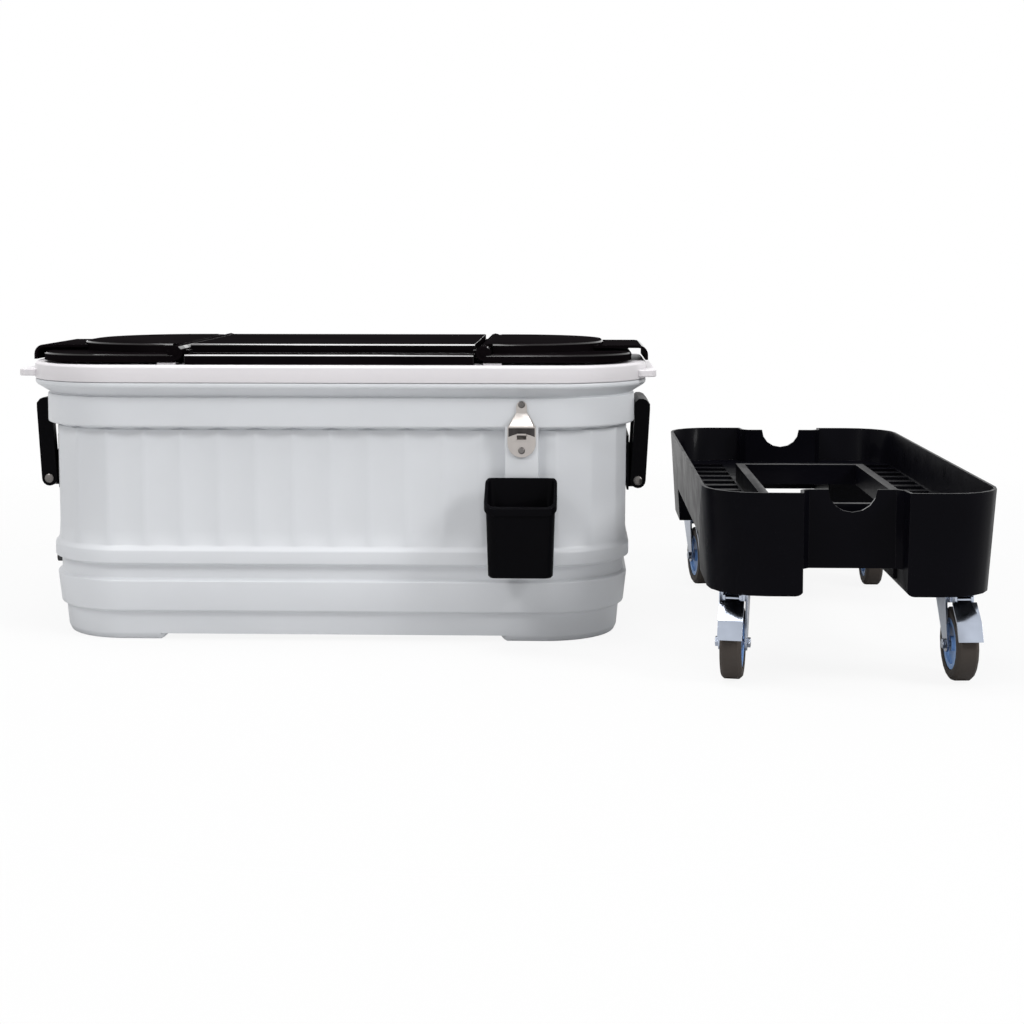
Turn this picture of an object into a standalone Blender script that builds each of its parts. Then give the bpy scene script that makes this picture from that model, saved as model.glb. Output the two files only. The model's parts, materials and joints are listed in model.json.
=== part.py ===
"""Party bar cooler standing beside the wheeled base that it is lifted off, as separate pieces.

Metres, +Z up. The cooler's front faces -Y and its length runs along X; the base's length runs along Y.
The origin is on the floor, below the middle of the whole object.
"""

import math

import bmesh
import bpy
from mathutils import Matrix, Vector

# Fits
FIT_GAP = 0.0003
CORNER_STEPS = 5
RIM_STEPS = 8
ROUND_SIDES = 20
SMALL_SIDES = 12

# Places of the two groups
GROUP_SPACING = 0.704
COOLER_SETBACK = 0.025

# Cooler outline, measured on the rim of the top frame
RIM_LENGTH = 0.906
RIM_DEPTH = 0.440
RIM_CORNER = 0.150

# How far each level of the outer shell lies inside the rim
LIP_INSET = 0.0005
UPPER_BAND_INSET = 0.0175
FLUTE_INSET = 0.028
FLUTE_DRAFT = 0.002
RIB_INSET = 0.025
GROOVE_INSET = 0.034
BAND_INSET = 0.028
BAND_DRAFT = 0.005
FOOT_INSET = 0.040
FOOT_DRAFT = 0.003
FOOT_ROUNDING = 0.008
SKIRT_INSET = 0.088
NECK_INSET = 0.0345

# Heights of the outer shell's levels
UNDERSIDE = 0.040
FOOT_TOP = 0.041
BAND_TOP = 0.088
GROOVE_TOP = 0.1135
RIB_TOP = 0.132
FLUTE_TOP = 0.3095
UPPER_BAND_TOP = 0.356
LIP_TOP = 0.375
FRAME_TOP = 0.400
STEP_RUN = 0.003
LIP_FACE = 0.006
LIP_EDGE = 0.001
RIB_SLOPE = 0.006
SHELL_WALL = 0.003

# Arch between the feet on the long sides
FOOT_HEIGHT = 0.0148
ARCH_HALF_LENGTH = 0.234
ARCH_RAMP = 0.017

# Flutes around the middle band, with a narrow ridge between neighbours
FLUTE_COUNT = 42
FLUTE_DEPTH = 0.0022
FLUTE_STEPS = 4
FLUTE_OUTSIDE = 0.012
RIDGE_WIDTH = 0.0015

# Raised strip that carries the opener and the catcher's bracket
STRIP_HALF_WIDTH = 0.0236

# Top frame
FRAME_WALL = 0.0035
FRAME_LIP_DEPTH = 0.012
FRAME_OVERLAP = 0.0035
FRAME_CHAMFER = 0.003
TAB_THICKNESS = 0.010
TAB_HEIGHT = 0.379
TAB_REACH = 0.0126
TAB_ROOT = 0.020
TAB_WIDTH = 0.270
TAB_CORNER = 0.012

# Tub
TUB_INSET = 0.052
TUB_DRAFT = 0.008
TUB_WALL = 0.003
TUB_FLOOR = 0.089
FLANGE_WIDTH = 0.0175

# Lid
LID_END_MARGIN = 0.023
LID_HALF_LENGTH = RIM_LENGTH / 2 - LID_END_MARGIN
LID_SIDE_MARGIN = 0.012
LID_HALF_DEPTH = RIM_DEPTH / 2 - LID_SIDE_MARGIN
LID_CORNER = 0.100
LID_WALL = 0.004
LID_LEDGE_RISE = 0.0145
LID_LEDGE_TOP = FRAME_TOP + LID_LEDGE_RISE
LID_PLATEAU_RISE = 0.013
LID_PLATEAU_TOP = LID_LEDGE_TOP + LID_PLATEAU_RISE
LID_EDGE = 0.002
LEDGE_END_WIDTH = 0.040
PLATEAU_HALF_LENGTH = LID_HALF_LENGTH - LEDGE_END_WIDTH
LEDGE_SIDE_WIDTH = 0.043
PLATEAU_HALF_DEPTH = LID_HALF_DEPTH - LEDGE_SIDE_WIDTH
PLATEAU_CORNER = 0.140
LEAF_LIFT = 0.003
HINGE_REACH = 0.2185
HINGE_RISE = 0.0165
HINGE_HEIGHT = FRAME_TOP + HINGE_RISE
KNUCKLE_RADIUS = 0.0105
HINGE_PIN_RADIUS = 0.003
HINGE_CLEARANCE = 0.0138
HINGE_POCKET = 0.0118
KNUCKLE_MARGIN = 0.0005
KNUCKLE_END = LID_HALF_DEPTH - KNUCKLE_MARGIN
LUG_SETBACK = 0.057
LUG_START = KNUCKLE_END - LUG_SETBACK
LUG_WIDTH = 0.0245
PAD_LENGTH = 0.026
PAD_SETBACK = 0.040
PAD_START = RIM_DEPTH / 2 - PAD_SETBACK
PAD_WIDTH = 0.026

# Lip grip on the end of each leaf
GRIP_BEYOND_RIM = 0.0023
GRIP_REACH = RIM_LENGTH / 2 + GRIP_BEYOND_RIM
GRIP_WIDTH = 0.177
GRIP_THICKNESS = 0.004
GRIP_TOP_DROP = 0.005
GRIP_TOP = LID_PLATEAU_TOP - GRIP_TOP_DROP
GRIP_TIP_RISE = 0.001
GRIP_TIP = FRAME_TOP + GRIP_TIP_RISE
GRIP_SPAN = 0.0803
GRIP_ROOT = GRIP_REACH - GRIP_SPAN
GRIP_BEND = 0.014

# Drain in the groove of the left end
DRAIN_CORNER_MARGIN = 0.010
DRAIN_SETBACK = RIM_DEPTH / 2 - RIM_CORNER - DRAIN_CORNER_MARGIN
DRAIN_HEIGHT = 0.1005
DRAIN_BORE = 0.0040
DRAIN_TUBE_WALL = 0.0018
DRAIN_FLANGE_RADIUS = 0.0080
DRAIN_FLANGE_THICKNESS = 0.0020
DRAIN_INNER_REACH = 0.008
DRAIN_NUT_RADIUS = 0.0100
DRAIN_NUT_LENGTH = 0.005
PLUG_HEAD_RADIUS = 0.0075
PLUG_HEAD_LENGTH = 0.011
PLUG_STEM_LENGTH = 0.014

# Bottle opener
FIXTURE_OFFSET = 0.2725
OPENER_TOP = 0.3495
OPENER_NECK_HALF = 0.0075
OPENER_SHIELD_HALF = 0.020
OPENER_SHIELD_TOP = 0.312
OPENER_SHIELD_CENTRE = 0.2895
OPENER_THICKNESS = 0.0025
HOOD_ROOT_HALF = 0.0072
HOOD_HALF_WIDTH = 0.0172
HOOD_TOP = 0.334
HOOD_EDGE = 0.3125
HOOD_REACH = 0.013
TONGUE_HALF_WIDTH = 0.0067
TONGUE_BOTTOM = 0.2935
TONGUE_TIP = 0.304
TONGUE_REACH = 0.006
OPENER_SCREW_TOP = 0.3444
OPENER_SCREW_BOTTOM = 0.2794
SCREW_HEAD_RADIUS = 0.0050
SCREW_HEAD_HEIGHT = 0.0025
SCREW_SHANK_RADIUS = 0.0020
SCREW_LENGTH = 0.012

# Bracket and bucket of the cap catcher
BRACKET_HALF_WIDTH = 0.022
BRACKET_BOTTOM = 0.170
BRACKET_TOP = 0.230
BRACKET_THICKNESS = 0.0025
TEE_HALF_WIDTH = 0.016
TEE_NECK_HALF = 0.010
TEE_STANDOFF = 0.0030
TEE_BOTTOM = 0.193
TEE_TOP = 0.220
CATCHER_SCREW_SPREAD = 0.013
CATCHER_SCREW_HEIGHT = 0.180
CATCHER_HALF_WIDTH = 0.049
CATCHER_HALF_DEPTH = 0.033
CATCHER_TAPER = 0.004
CATCHER_BOTTOM = 0.109
CATCHER_BACK_TOP = 0.2415
CATCHER_FRONT_TOP = 0.207
CATCHER_WALL = 0.0025
CATCHER_CORNER = 0.013
COLLAR_REACH = 0.0015
COLLAR_HEIGHT = 0.009
HOOK_THICKNESS = 0.0037

# Swing handles
HANDLE_STANDOFF = 0.017
HANDLE_PIVOT_REACH = RIM_LENGTH / 2 - FLUTE_INSET + HANDLE_STANDOFF
HANDLE_PIVOT_HEIGHT = 0.220
HANDLE_TOP = 0.342
HANDLE_HALF_WIDTH = 0.068
HANDLE_LEG = 0.016
HANDLE_FOOT_RADIUS = 0.0115
HANDLE_OUTSIDE = 0.0175
HANDLE_TOP_OUTER = HANDLE_PIVOT_REACH + HANDLE_OUTSIDE
HANDLE_INSIDE = 0.004
HANDLE_TOP_INNER = HANDLE_PIVOT_REACH - HANDLE_INSIDE
HANDLE_GRIP_HEIGHT = 0.024
HANDLE_ROUNDING = 0.005
HANDLE_OUTER_DROP = 0.008
PIVOT_RADIUS = 0.004
PIVOT_HEAD_RADIUS = 0.0070
PIVOT_HEAD_HEIGHT = 0.0025
EAR_THICKNESS = 0.006
EAR_RADIUS = 0.0110
EAR_BACK_TOP = 0.284
WALL_PLATE_THICKNESS = 0.003
WALL_PLATE_HALF_WIDTH = 0.066
WALL_PLATE_BOTTOM = 0.206
WALL_PLATE_TOP = 0.2875

# Base tray
BASE_WIDTH = 0.3815
BASE_LENGTH = 0.852
BASE_RIM = 0.254
BASE_CORNER = 0.073
BASE_DRAFT = 0.060
BASE_WALL = 0.004
POD_BOTTOM = 0.120
POD_INNER_X = 0.0635
POD_LENGTH = 0.199
POD_INNER_Y = BASE_LENGTH / 2 - POD_LENGTH
RECESS_DEPTH = 0.0355
RECESS_BOTTOM = 0.152
POD_ROUNDING = 0.012
RECESS_FLARE = 0.008
ARCH_TOP = 0.1725
DECK_TOP = 0.198
DECK_THICKNESS = 0.004
CEILING_BOTTOM = 0.132
CEILING_THICKNESS = 0.006
WELL_HALF_WIDTH = 0.087
DECK_NEAR = 0.124
WELL_NEAR = DECK_NEAR - BASE_LENGTH / 2
DECK_FAR = 0.302
WELL_FAR = BASE_LENGTH / 2 - DECK_FAR
CURB_WIDTH = 0.013
CURB_TOP = 0.225
SLOT_PITCH = 0.056
SLOT_OPENING = 0.037
SLOT_MARGIN = 0.003
NOTCH_HALF_WIDTH = 0.0315
NOTCH_DEPTH = 0.0295
NOTCH_STEPS = 8

# Casters
CASTER_SIDE_SETBACK = 0.04615
CASTER_REACH_X = BASE_WIDTH / 2 - CASTER_SIDE_SETBACK
CASTER_END_SETBACK = 0.091
CASTER_REACH_Y = BASE_LENGTH / 2 - CASTER_END_SETBACK
CASTER_TRAIL = 0.0245
FRONT_LEFT_TURN = -10.0
FRONT_RIGHT_TURN = 3.0
BACK_LEFT_TURN = 9.0
BACK_RIGHT_TURN = 0.0
WHEEL_RADIUS = 0.0482
TYRE_WIDTH = 0.028
TYRE_ROUNDING = 0.004
HUB_RADIUS = 0.034
HUB_WIDTH = 0.025
HUB_DISH_RADIUS = 0.027
HUB_DISH_DEPTH = 0.004
HUB_BOSS_RADIUS = 0.010
AXLE_RADIUS = 0.0040
AXLE_HEAD_RADIUS = 0.0070
AXLE_HEAD_LENGTH = 0.0040
FORK_GAP = 0.0315
FORK_LEG = 0.003
FORK_DEPTH = 0.046
FORK_FOOT_RADIUS = 0.011
CROWN_BOTTOM = 0.102
HEAD_RADIUS = 0.026
HEAD_HEIGHT = 0.006
STEM_RADIUS = 0.006
STEM_REACH = 0.012
STEM_NUT_RADIUS = 0.011
STEM_NUT_HEIGHT = 0.008
PEDAL_HALF_WIDTH = 0.016
PEDAL_THICKNESS = 0.0025
PEDAL_PIVOT_Y = -0.040
PEDAL_PIVOT_Z = 0.1095
PEDAL_KNEE_Y = -0.070
PEDAL_KNEE_Z = 0.083
PEDAL_TIP_Y = -0.078
PEDAL_TIP_Z = 0.0615
PEDAL_BARREL = 0.004
PEDAL_EAR_HALF_WIDTH = 0.012

# Colour, roughness and metallic value of each finish
FINISHES = {
    "wall": ((0.60, 0.61, 0.63), 0.45, 0.0),
    "frame": ((0.69, 0.67, 0.68), 0.45, 0.0),
    "foam": ((0.80, 0.72, 0.45), 0.90, 0.0),
    "lid": ((0.022, 0.017, 0.016), 0.15, 0.0),
    "black": ((0.012, 0.012, 0.013), 0.40, 0.0),
    "base": ((0.020, 0.020, 0.024), 0.45, 0.0),
    "steel": ((0.60, 0.58, 0.57), 0.30, 1.0),
    "zinc": ((0.62, 0.66, 0.70), 0.30, 1.0),
    "hub": ((0.17, 0.30, 0.60), 0.45, 0.0),
    "tyre": ((0.050, 0.040, 0.034), 0.70, 0.0),
    "drain": ((0.030, 0.030, 0.032), 0.60, 0.0),
}

FACING_Y = Matrix.Rotation(math.pi / 2, 4, "X")
FACING_X = Matrix(((0, 0, 1, 0), (1, 0, 0, 0), (0, 1, 0, 0), (0, 0, 0, 1)))


def clear_scene():
    """Take every object out of the scene."""
    for obj in list(bpy.data.objects):
        bpy.data.objects.remove(obj, do_unlink=True)


def collection(name):
    """A new collection in the scene."""
    group = bpy.data.collections.new(name)
    bpy.context.scene.collection.children.link(group)
    return group


def finish_mesh(bm):
    """Turn a bmesh into a mesh with its faces pointing out."""
    bmesh.ops.recalc_face_normals(bm, faces=bm.faces[:])
    mesh = bpy.data.meshes.new("form")
    bm.to_mesh(mesh)
    bm.free()
    return mesh


def box(low, high):
    """Box between two corners."""
    low, high = Vector(low), Vector(high)
    place = Matrix.Translation((low + high) / 2) @ Matrix.Diagonal((*(high - low), 1.0))
    bm = bmesh.new()
    bmesh.ops.create_cube(bm, size=1.0, matrix=place)
    return finish_mesh(bm)


def rod(start, end, radius, sides=SMALL_SIDES):
    """Round or many-sided rod between two points."""
    start, end = Vector(start), Vector(end)
    turn = Vector((0, 0, 1)).rotation_difference(end - start).to_matrix().to_4x4()
    place = Matrix.Translation((start + end) / 2) @ turn
    bm = bmesh.new()
    bmesh.ops.create_cone(bm, cap_ends=True, segments=sides, radius1=radius, radius2=radius,
                          depth=(end - start).length, matrix=place)
    return finish_mesh(bm)


def loft(rings, closed=False):
    """Skin over rings of equally many points, capped at both ends or closed on itself."""
    bm = bmesh.new()
    loops = [[bm.verts.new(point) for point in ring] for ring in rings]
    pairs = list(zip(loops, loops[1:]))
    if closed:
        pairs.append((loops[-1], loops[0]))
    else:
        bm.faces.new(loops[0])
        bm.faces.new(loops[-1])
    for lower, upper in pairs:
        for index, corner in enumerate(lower):
            after = (index + 1) % len(lower)
            bm.faces.new((corner, lower[after], upper[after], upper[index]))
    return finish_mesh(bm)


def rounded_outline(half_x, half_y, radius, stations=(), steps=CORNER_STEPS):
    """Rounded rectangle, anticlockwise; stations are extra points along both long sides."""
    points = []
    for side_x, side_y, start in ((1, -1, -90), (1, 1, 0), (-1, 1, 90), (-1, -1, 180)):
        for step in range(steps + 1):
            angle = math.radians(start + 90 * step / steps)
            points.append((side_x * (half_x - radius) + radius * math.cos(angle),
                           side_y * (half_y - radius) + radius * math.sin(angle)))
        if start == 0:
            points.extend((x, half_y) for x in sorted(stations, reverse=True))
    points.extend((x, -half_y) for x in sorted(stations))
    return points


def plate(outline, low, high):
    """Flat piece with the outline in X and Y, from the height low up to high."""
    curve = bpy.data.curves.new("outline", "CURVE")
    curve.dimensions = "2D"
    curve.fill_mode = "BOTH"
    curve.extrude = (high - low) / 2
    spline = curve.splines.new("POLY")
    spline.points.add(len(outline) - 1)
    for point, (x, y) in zip(spline.points, outline):
        point.co = (x, y, 0.0, 1.0)
    spline.use_cyclic_u = True
    obj = bpy.data.objects.new("outline", curve)
    bpy.context.scene.collection.objects.link(obj)
    mesh = evaluated_mesh(obj)
    bpy.data.objects.remove(obj, do_unlink=True)
    bm = bmesh.new()
    bm.from_mesh(mesh)
    bmesh.ops.remove_doubles(bm, verts=bm.verts[:], dist=0.00001)
    bmesh.ops.translate(bm, verts=bm.verts[:], vec=(0, 0, (low + high) / 2))
    bpy.data.meshes.remove(mesh)
    return finish_mesh(bm)


def plate_facing_y(outline, near, far):
    """Flat piece with the outline in X and Z, from the depth near to far along Y."""
    return moved(plate(outline, -far, -near), FACING_Y)


def plate_facing_x(outline, low, high):
    """Flat piece with the outline in Y and Z, from low to high along X."""
    return moved(plate(outline, low, high), FACING_X)


def turned(profile, sides=ROUND_SIDES, ring=False):
    """Turned form about the Z axis; a ring's profile closes on itself, any other ends on the axis."""
    mesh = bpy.data.meshes.new("profile")
    edges = [(index, index + 1) for index in range(len(profile) - 1)]
    if ring:
        edges.append((len(profile) - 1, 0))
    mesh.from_pydata([(radius, 0.0, height) for radius, height in profile], edges, [])
    obj = bpy.data.objects.new("profile", mesh)
    bpy.context.scene.collection.objects.link(obj)
    screw = obj.modifiers.new("turn", "SCREW")
    screw.steps = sides
    screw.render_steps = sides
    screw.use_merge_vertices = True
    screw.merge_threshold = 0.00001
    result = evaluated_mesh(obj)
    bpy.data.objects.remove(obj, do_unlink=True)
    bm = bmesh.new()
    bm.from_mesh(result)
    return finish_mesh(bm)


def evaluated_mesh(obj):
    """The mesh of an object after its modifiers."""
    graph = bpy.context.evaluated_depsgraph_get()
    graph.update()
    return bpy.data.meshes.new_from_object(obj.evaluated_get(graph))


def moved(mesh, matrix):
    """The mesh after a change of place."""
    mesh.transform(matrix)
    mesh.update()
    return mesh


def shaped(mesh, steps):
    """The mesh after Boolean steps, each a pair of an operation and the mesh that it works with."""
    body = bpy.data.objects.new("body", mesh)
    TOOLS.objects.link(body)
    tools = []
    for operation, other in steps:
        tool = bpy.data.objects.new("tool", other)
        tool.hide_render = True
        tool.display_type = "WIRE"
        TOOLS.objects.link(tool)
        change = body.modifiers.new(operation.lower(), "BOOLEAN")
        change.operation = operation
        change.solver = "EXACT"
        change.object = tool
        tools.append(tool)
    result = evaluated_mesh(body)
    for obj in tools + [body]:
        bpy.data.objects.remove(obj, do_unlink=True)
    return result


def cut(*meshes):
    """Boolean steps that take each mesh away."""
    return [("DIFFERENCE", mesh) for mesh in meshes]


def join(*meshes):
    """Boolean steps that add each mesh."""
    return [("UNION", mesh) for mesh in meshes]


def keep(*meshes):
    """Boolean steps that keep only what lies in each mesh."""
    return [("INTERSECT", mesh) for mesh in meshes]


def gathered(meshes):
    """Several separate meshes as one."""
    bm = bmesh.new()
    for mesh in meshes:
        bm.from_mesh(mesh)
    result = bpy.data.meshes.new("set")
    bm.to_mesh(result)
    bm.free()
    return result


def material(name, finish):
    """Own material of one piece."""
    colour, roughness, metallic = FINISHES[finish]
    surface = bpy.data.materials.new(name)
    surface.use_nodes = True
    shader = surface.node_tree.nodes["Principled BSDF"]
    shader.inputs["Base Color"].default_value = (*colour, 1.0)
    shader.inputs["Roughness"].default_value = roughness
    shader.inputs["Metallic"].default_value = metallic
    return surface


def anchor(name, place, parent=None, turn=0.0):
    """Empty that carries a group, or stands on the axis of a joint."""
    empty = bpy.data.objects.new(name, None)
    empty.empty_display_size = 0.03
    empty.location = place
    empty.rotation_euler.z = math.radians(turn)
    empty.parent = parent
    PARTS.objects.link(empty)
    return empty


def piece(name, mesh, finish, carrier, group):
    """Named piece, given in its group's frame, with its origin at the empty that carries it."""
    offset = Vector((0, 0, 0))
    step = carrier
    while step is not group:
        offset += step.location
        step = step.parent
    own = mesh.copy()
    own.transform(Matrix.Translation(-offset))
    own.shade_smooth()
    own.set_sharp_from_angle(angle=math.radians(35))
    own.materials.clear()
    own.materials.append(material(name, finish))
    own.name = name
    obj = bpy.data.objects.new(name, own)
    obj.parent = carrier
    PARTS.objects.link(obj)
    return obj


# Cooler body

def cooler_ring(inset, height, stations=(), lifted=False):
    """One level of the cooler's outline; a lifted one rises over the arches between the feet."""
    half_x, half_y, corner = RIM_LENGTH / 2 - inset, RIM_DEPTH / 2 - inset, RIM_CORNER - inset
    ring = []
    for x, y in rounded_outline(half_x, half_y, corner, stations, RIM_STEPS):
        lift = FOOT_HEIGHT * foot_rise(x) if lifted else 0.0
        ring.append((x, y, height + lift))
    return ring


def foot_rise(x):
    """Share of the feet's height by which the lower edge is lifted at x."""
    share = (ARCH_HALF_LENGTH + ARCH_RAMP - abs(x)) / ARCH_RAMP
    return min(max(share, 0.0), 1.0)


def drain_hole():
    """Cutter for the drain's way through the left end."""
    radius = DRAIN_BORE + DRAIN_TUBE_WALL + FIT_GAP
    return rod((-RIM_LENGTH / 2, -DRAIN_SETBACK, DRAIN_HEIGHT),
               (-RIM_LENGTH / 2 + 2 * TUB_INSET, -DRAIN_SETBACK, DRAIN_HEIGHT), radius)


def strip_face():
    """Y of the raised strip's face."""
    return -RIM_DEPTH / 2 + UPPER_BAND_INSET + FIT_GAP


def wall_screw_holes():
    """Cutters for the screws of the opener and of the catcher's bracket."""
    radius = SCREW_SHANK_RADIUS + FIT_GAP
    return [rod((x, strip_face() - STEP_RUN, z), (x, strip_face() + SCREW_LENGTH, z), radius)
            for x, z in screw_places()]


def screw_places():
    """Where the four screws stand on the front wall."""
    return ((FIXTURE_OFFSET, OPENER_SCREW_TOP), (FIXTURE_OFFSET, OPENER_SCREW_BOTTOM),
            (FIXTURE_OFFSET - CATCHER_SCREW_SPREAD, CATCHER_SCREW_HEIGHT),
            (FIXTURE_OFFSET + CATCHER_SCREW_SPREAD, CATCHER_SCREW_HEIGHT))


def ridge_points():
    """Points spaced evenly around the top of the fluted wall, from the middle of the front."""
    ring = [Vector(point[:2]) for point in cooler_ring(FLUTE_INSET, 0.0)]
    start = Vector((0.0, ring[0].y))
    path = [start] + ring + [start]
    pitch = sum((after - before).length for before, after in zip(path, path[1:])) / FLUTE_COUNT
    points, walked = [], 0.0
    for before, after in zip(path, path[1:]):
        length = (after - before).length
        while len(points) < FLUTE_COUNT and len(points) * pitch <= walked + length:
            points.append(before.lerp(after, (len(points) * pitch - walked) / length))
        walked += length
    return points


def flute_cutters():
    """Shallow round grooves down the fluted band, one beside the other."""
    points = ridge_points()
    low, high = RIB_TOP + RIB_SLOPE + LIP_EDGE, FLUTE_TOP - STEP_RUN / 2
    slope = FLUTE_DRAFT / (FLUTE_TOP - RIB_TOP)
    slant = Matrix.Translation((0, slope * FLUTE_TOP, 0))
    slant[1][2] = -slope
    angles = [math.pi * step / FLUTE_STEPS for step in range(FLUTE_STEPS + 1)]
    cutters = []
    for index, start in enumerate(points):
        end = points[(index + 1) % FLUTE_COUNT]
        half = ((end - start).length - RIDGE_WIDTH) / 2
        scoop = [(-half * math.cos(angle), FLUTE_DEPTH * math.sin(angle)) for angle in angles]
        outline = [(-half, -FLUTE_OUTSIDE), *scoop, (half, -FLUTE_OUTSIDE)]
        middle, along = (start + end) / 2, end - start
        place = Matrix.Translation((*middle, 0)) @ Matrix.Rotation(math.atan2(along.y, along.x), 4, "Z")
        cutters.append(moved(plate(outline, low, high), place @ slant))
    return cutters


def raised_strip():
    """Flat strip over the flutes, from the upper band down to the rib."""
    root = -RIM_DEPTH / 2 + GROOVE_INSET
    return box((FIXTURE_OFFSET - STRIP_HALF_WIDTH, strip_face(), RIB_TOP + LIP_EDGE),
               (FIXTURE_OFFSET + STRIP_HALF_WIDTH, root, FLUTE_TOP + 2 * STEP_RUN))


def outer_shell():
    """Outer wall from the neck under the frame down to the feet and the raised underside."""
    ramp = (ARCH_HALF_LENGTH, ARCH_HALF_LENGTH + ARCH_RAMP / 2, ARCH_HALF_LENGTH + ARCH_RAMP)
    stations = [side * x for x in ramp for side in (-1, 1)]
    inner_inset = NECK_INSET + SHELL_WALL
    foot_inner = FOOT_INSET + FOOT_DRAFT + FOOT_ROUNDING / 2 + SHELL_WALL
    foot_floor = FOOT_HEIGHT + 2 * SHELL_WALL
    inside = [
        (SKIRT_INSET - SHELL_WALL, UNDERSIDE + SHELL_WALL), (SKIRT_INSET - SHELL_WALL, foot_floor),
        (foot_inner, foot_floor), (foot_inner, FOOT_TOP + SHELL_WALL),
        (inner_inset, FOOT_TOP + 3 * SHELL_WALL), (inner_inset, neck_top()),
    ]
    outside = [
        (NECK_INSET, neck_top()), (NECK_INSET, LIP_TOP - FIT_GAP), (LIP_INSET + LIP_EDGE, LIP_TOP - FIT_GAP),
        (LIP_INSET, LIP_TOP - FIT_GAP - LIP_EDGE), (LIP_INSET, LIP_TOP - LIP_FACE),
        (LIP_INSET + STEP_RUN, LIP_TOP - LIP_FACE - STEP_RUN),
        (UPPER_BAND_INSET, UPPER_BAND_TOP), (UPPER_BAND_INSET, FLUTE_TOP + STEP_RUN),
        (FLUTE_INSET, FLUTE_TOP), (FLUTE_INSET + FLUTE_DRAFT, RIB_TOP + RIB_SLOPE),
        (RIB_INSET, RIB_TOP), (RIB_INSET, GROOVE_TOP), (GROOVE_INSET, GROOVE_TOP - STEP_RUN),
        (GROOVE_INSET, BAND_TOP + STEP_RUN), (BAND_INSET, BAND_TOP),
        (BAND_INSET + BAND_DRAFT, FOOT_TOP + STEP_RUN), (FOOT_INSET, FOOT_TOP),
    ]
    under = [
        (FOOT_INSET + FOOT_DRAFT, FOOT_ROUNDING), (FOOT_INSET + FOOT_DRAFT + FOOT_ROUNDING / 2, 0.0),
        (SKIRT_INSET, 0.0),
    ]
    rings = [cooler_ring(inset, height, stations) for inset, height in inside + outside]
    rings += [cooler_ring(inset, height, stations, lifted=True) for inset, height in under]
    rings.append(cooler_ring(SKIRT_INSET, UNDERSIDE, stations))
    steps = cut(gathered(flute_cutters())) + join(raised_strip())
    return shaped(loft(rings), steps + cut(drain_hole(), *wall_screw_holes()))


def neck_top():
    """Top of the shell's neck, under the liner's flange."""
    return FRAME_TOP - FRAME_WALL - 2 * FIT_GAP - TUB_WALL


def tub_outer(height):
    """How far the liner's outer face lies inside the rim at a height."""
    share = (neck_top() - height) / (neck_top() - TUB_FLOOR)
    return TUB_INSET - TUB_WALL + TUB_DRAFT * share


def foam_core():
    """Insulation that fills the space between shell and liner."""
    skin = SHELL_WALL + FIT_GAP
    foot_inner = FOOT_INSET + FOOT_DRAFT + FOOT_ROUNDING / 2 + skin
    foot_floor = FOOT_HEIGHT + 2 * SHELL_WALL + FIT_GAP
    under_tub = TUB_FLOOR - TUB_WALL - FIT_GAP
    rings = [cooler_ring(inset, height) for inset, height in (
        (tub_outer(TUB_FLOOR) - FIT_GAP, under_tub),
        (tub_outer(neck_top()) - FIT_GAP, neck_top() - FIT_GAP),
        (NECK_INSET + skin, neck_top() - FIT_GAP), (NECK_INSET + skin, FOOT_TOP + 3 * SHELL_WALL + FIT_GAP),
        (foot_inner, FOOT_TOP + SHELL_WALL + FIT_GAP), (foot_inner, foot_floor),
        (SKIRT_INSET - skin, foot_floor), (SKIRT_INSET - skin, UNDERSIDE + skin),
    )]
    return shaped(loft(rings), cut(drain_hole()))


def inner_liner():
    """Tub with its flange over the foam and the shell's neck."""
    top = neck_top() + TUB_WALL + FIT_GAP
    rings = [cooler_ring(inset, height) for inset, height in (
        (tub_outer(TUB_FLOOR) + TUB_WALL, TUB_FLOOR), (TUB_INSET, top),
        (TUB_INSET - FLANGE_WIDTH, top), (TUB_INSET - FLANGE_WIDTH, neck_top() + FIT_GAP),
        (TUB_INSET - TUB_WALL, neck_top() + FIT_GAP), (tub_outer(TUB_FLOOR), TUB_FLOOR - TUB_WALL),
    )]
    return shaped(loft(rings), cut(drain_hole()))


def top_frame():
    """Rim frame over shell and liner, with a tab at each end and a pad under each leaf's knuckle."""
    opening = TUB_INSET + FIT_GAP + FRAME_OVERLAP
    under_top = FRAME_TOP - FRAME_WALL
    rings = [cooler_ring(inset, height) for inset, height in (
        (0.0, LIP_TOP), (0.0, FRAME_TOP - FRAME_CHAMFER), (FRAME_CHAMFER, FRAME_TOP), (opening, FRAME_TOP),
        (opening, FRAME_TOP - FRAME_LIP_DEPTH), (opening - FRAME_OVERLAP, FRAME_TOP - FRAME_LIP_DEPTH),
        (opening - FRAME_OVERLAP, under_top), (FRAME_WALL, under_top), (FRAME_WALL, LIP_TOP),
    )]
    added = []
    for side in (-1, 1):
        half_length = (TAB_REACH + TAB_ROOT) / 2
        middle = side * (RIM_LENGTH / 2 + TAB_REACH - half_length)
        outline = rounded_outline(half_length, TAB_WIDTH / 2, TAB_CORNER)
        tab = plate([(middle + x, y) for x, y in outline], TAB_HEIGHT, TAB_HEIGHT + TAB_THICKNESS)
        added.append(tab)
        for front in (-1, 1):
            edges = sorted((side * HINGE_REACH, side * (HINGE_REACH + PAD_LENGTH)))
            depths = sorted((front * PAD_START, front * (PAD_START + PAD_WIDTH)))
            added.append(box((edges[0], depths[0], FRAME_TOP - FRAME_WALL / 2),
                             (edges[1], depths[1], FRAME_TOP + LEAF_LIFT)))
    return shaped(loft(rings, closed=True), join(*added))


def body_pieces(group):
    """The shells, the foam and the frame."""
    piece("outer_shell", outer_shell(), "wall", group, group)
    piece("foam_core", foam_core(), "foam", group, group)
    piece("inner_liner", inner_liner(), "wall", group, group)
    piece("top_frame", top_frame(), "frame", group, group)


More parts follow.
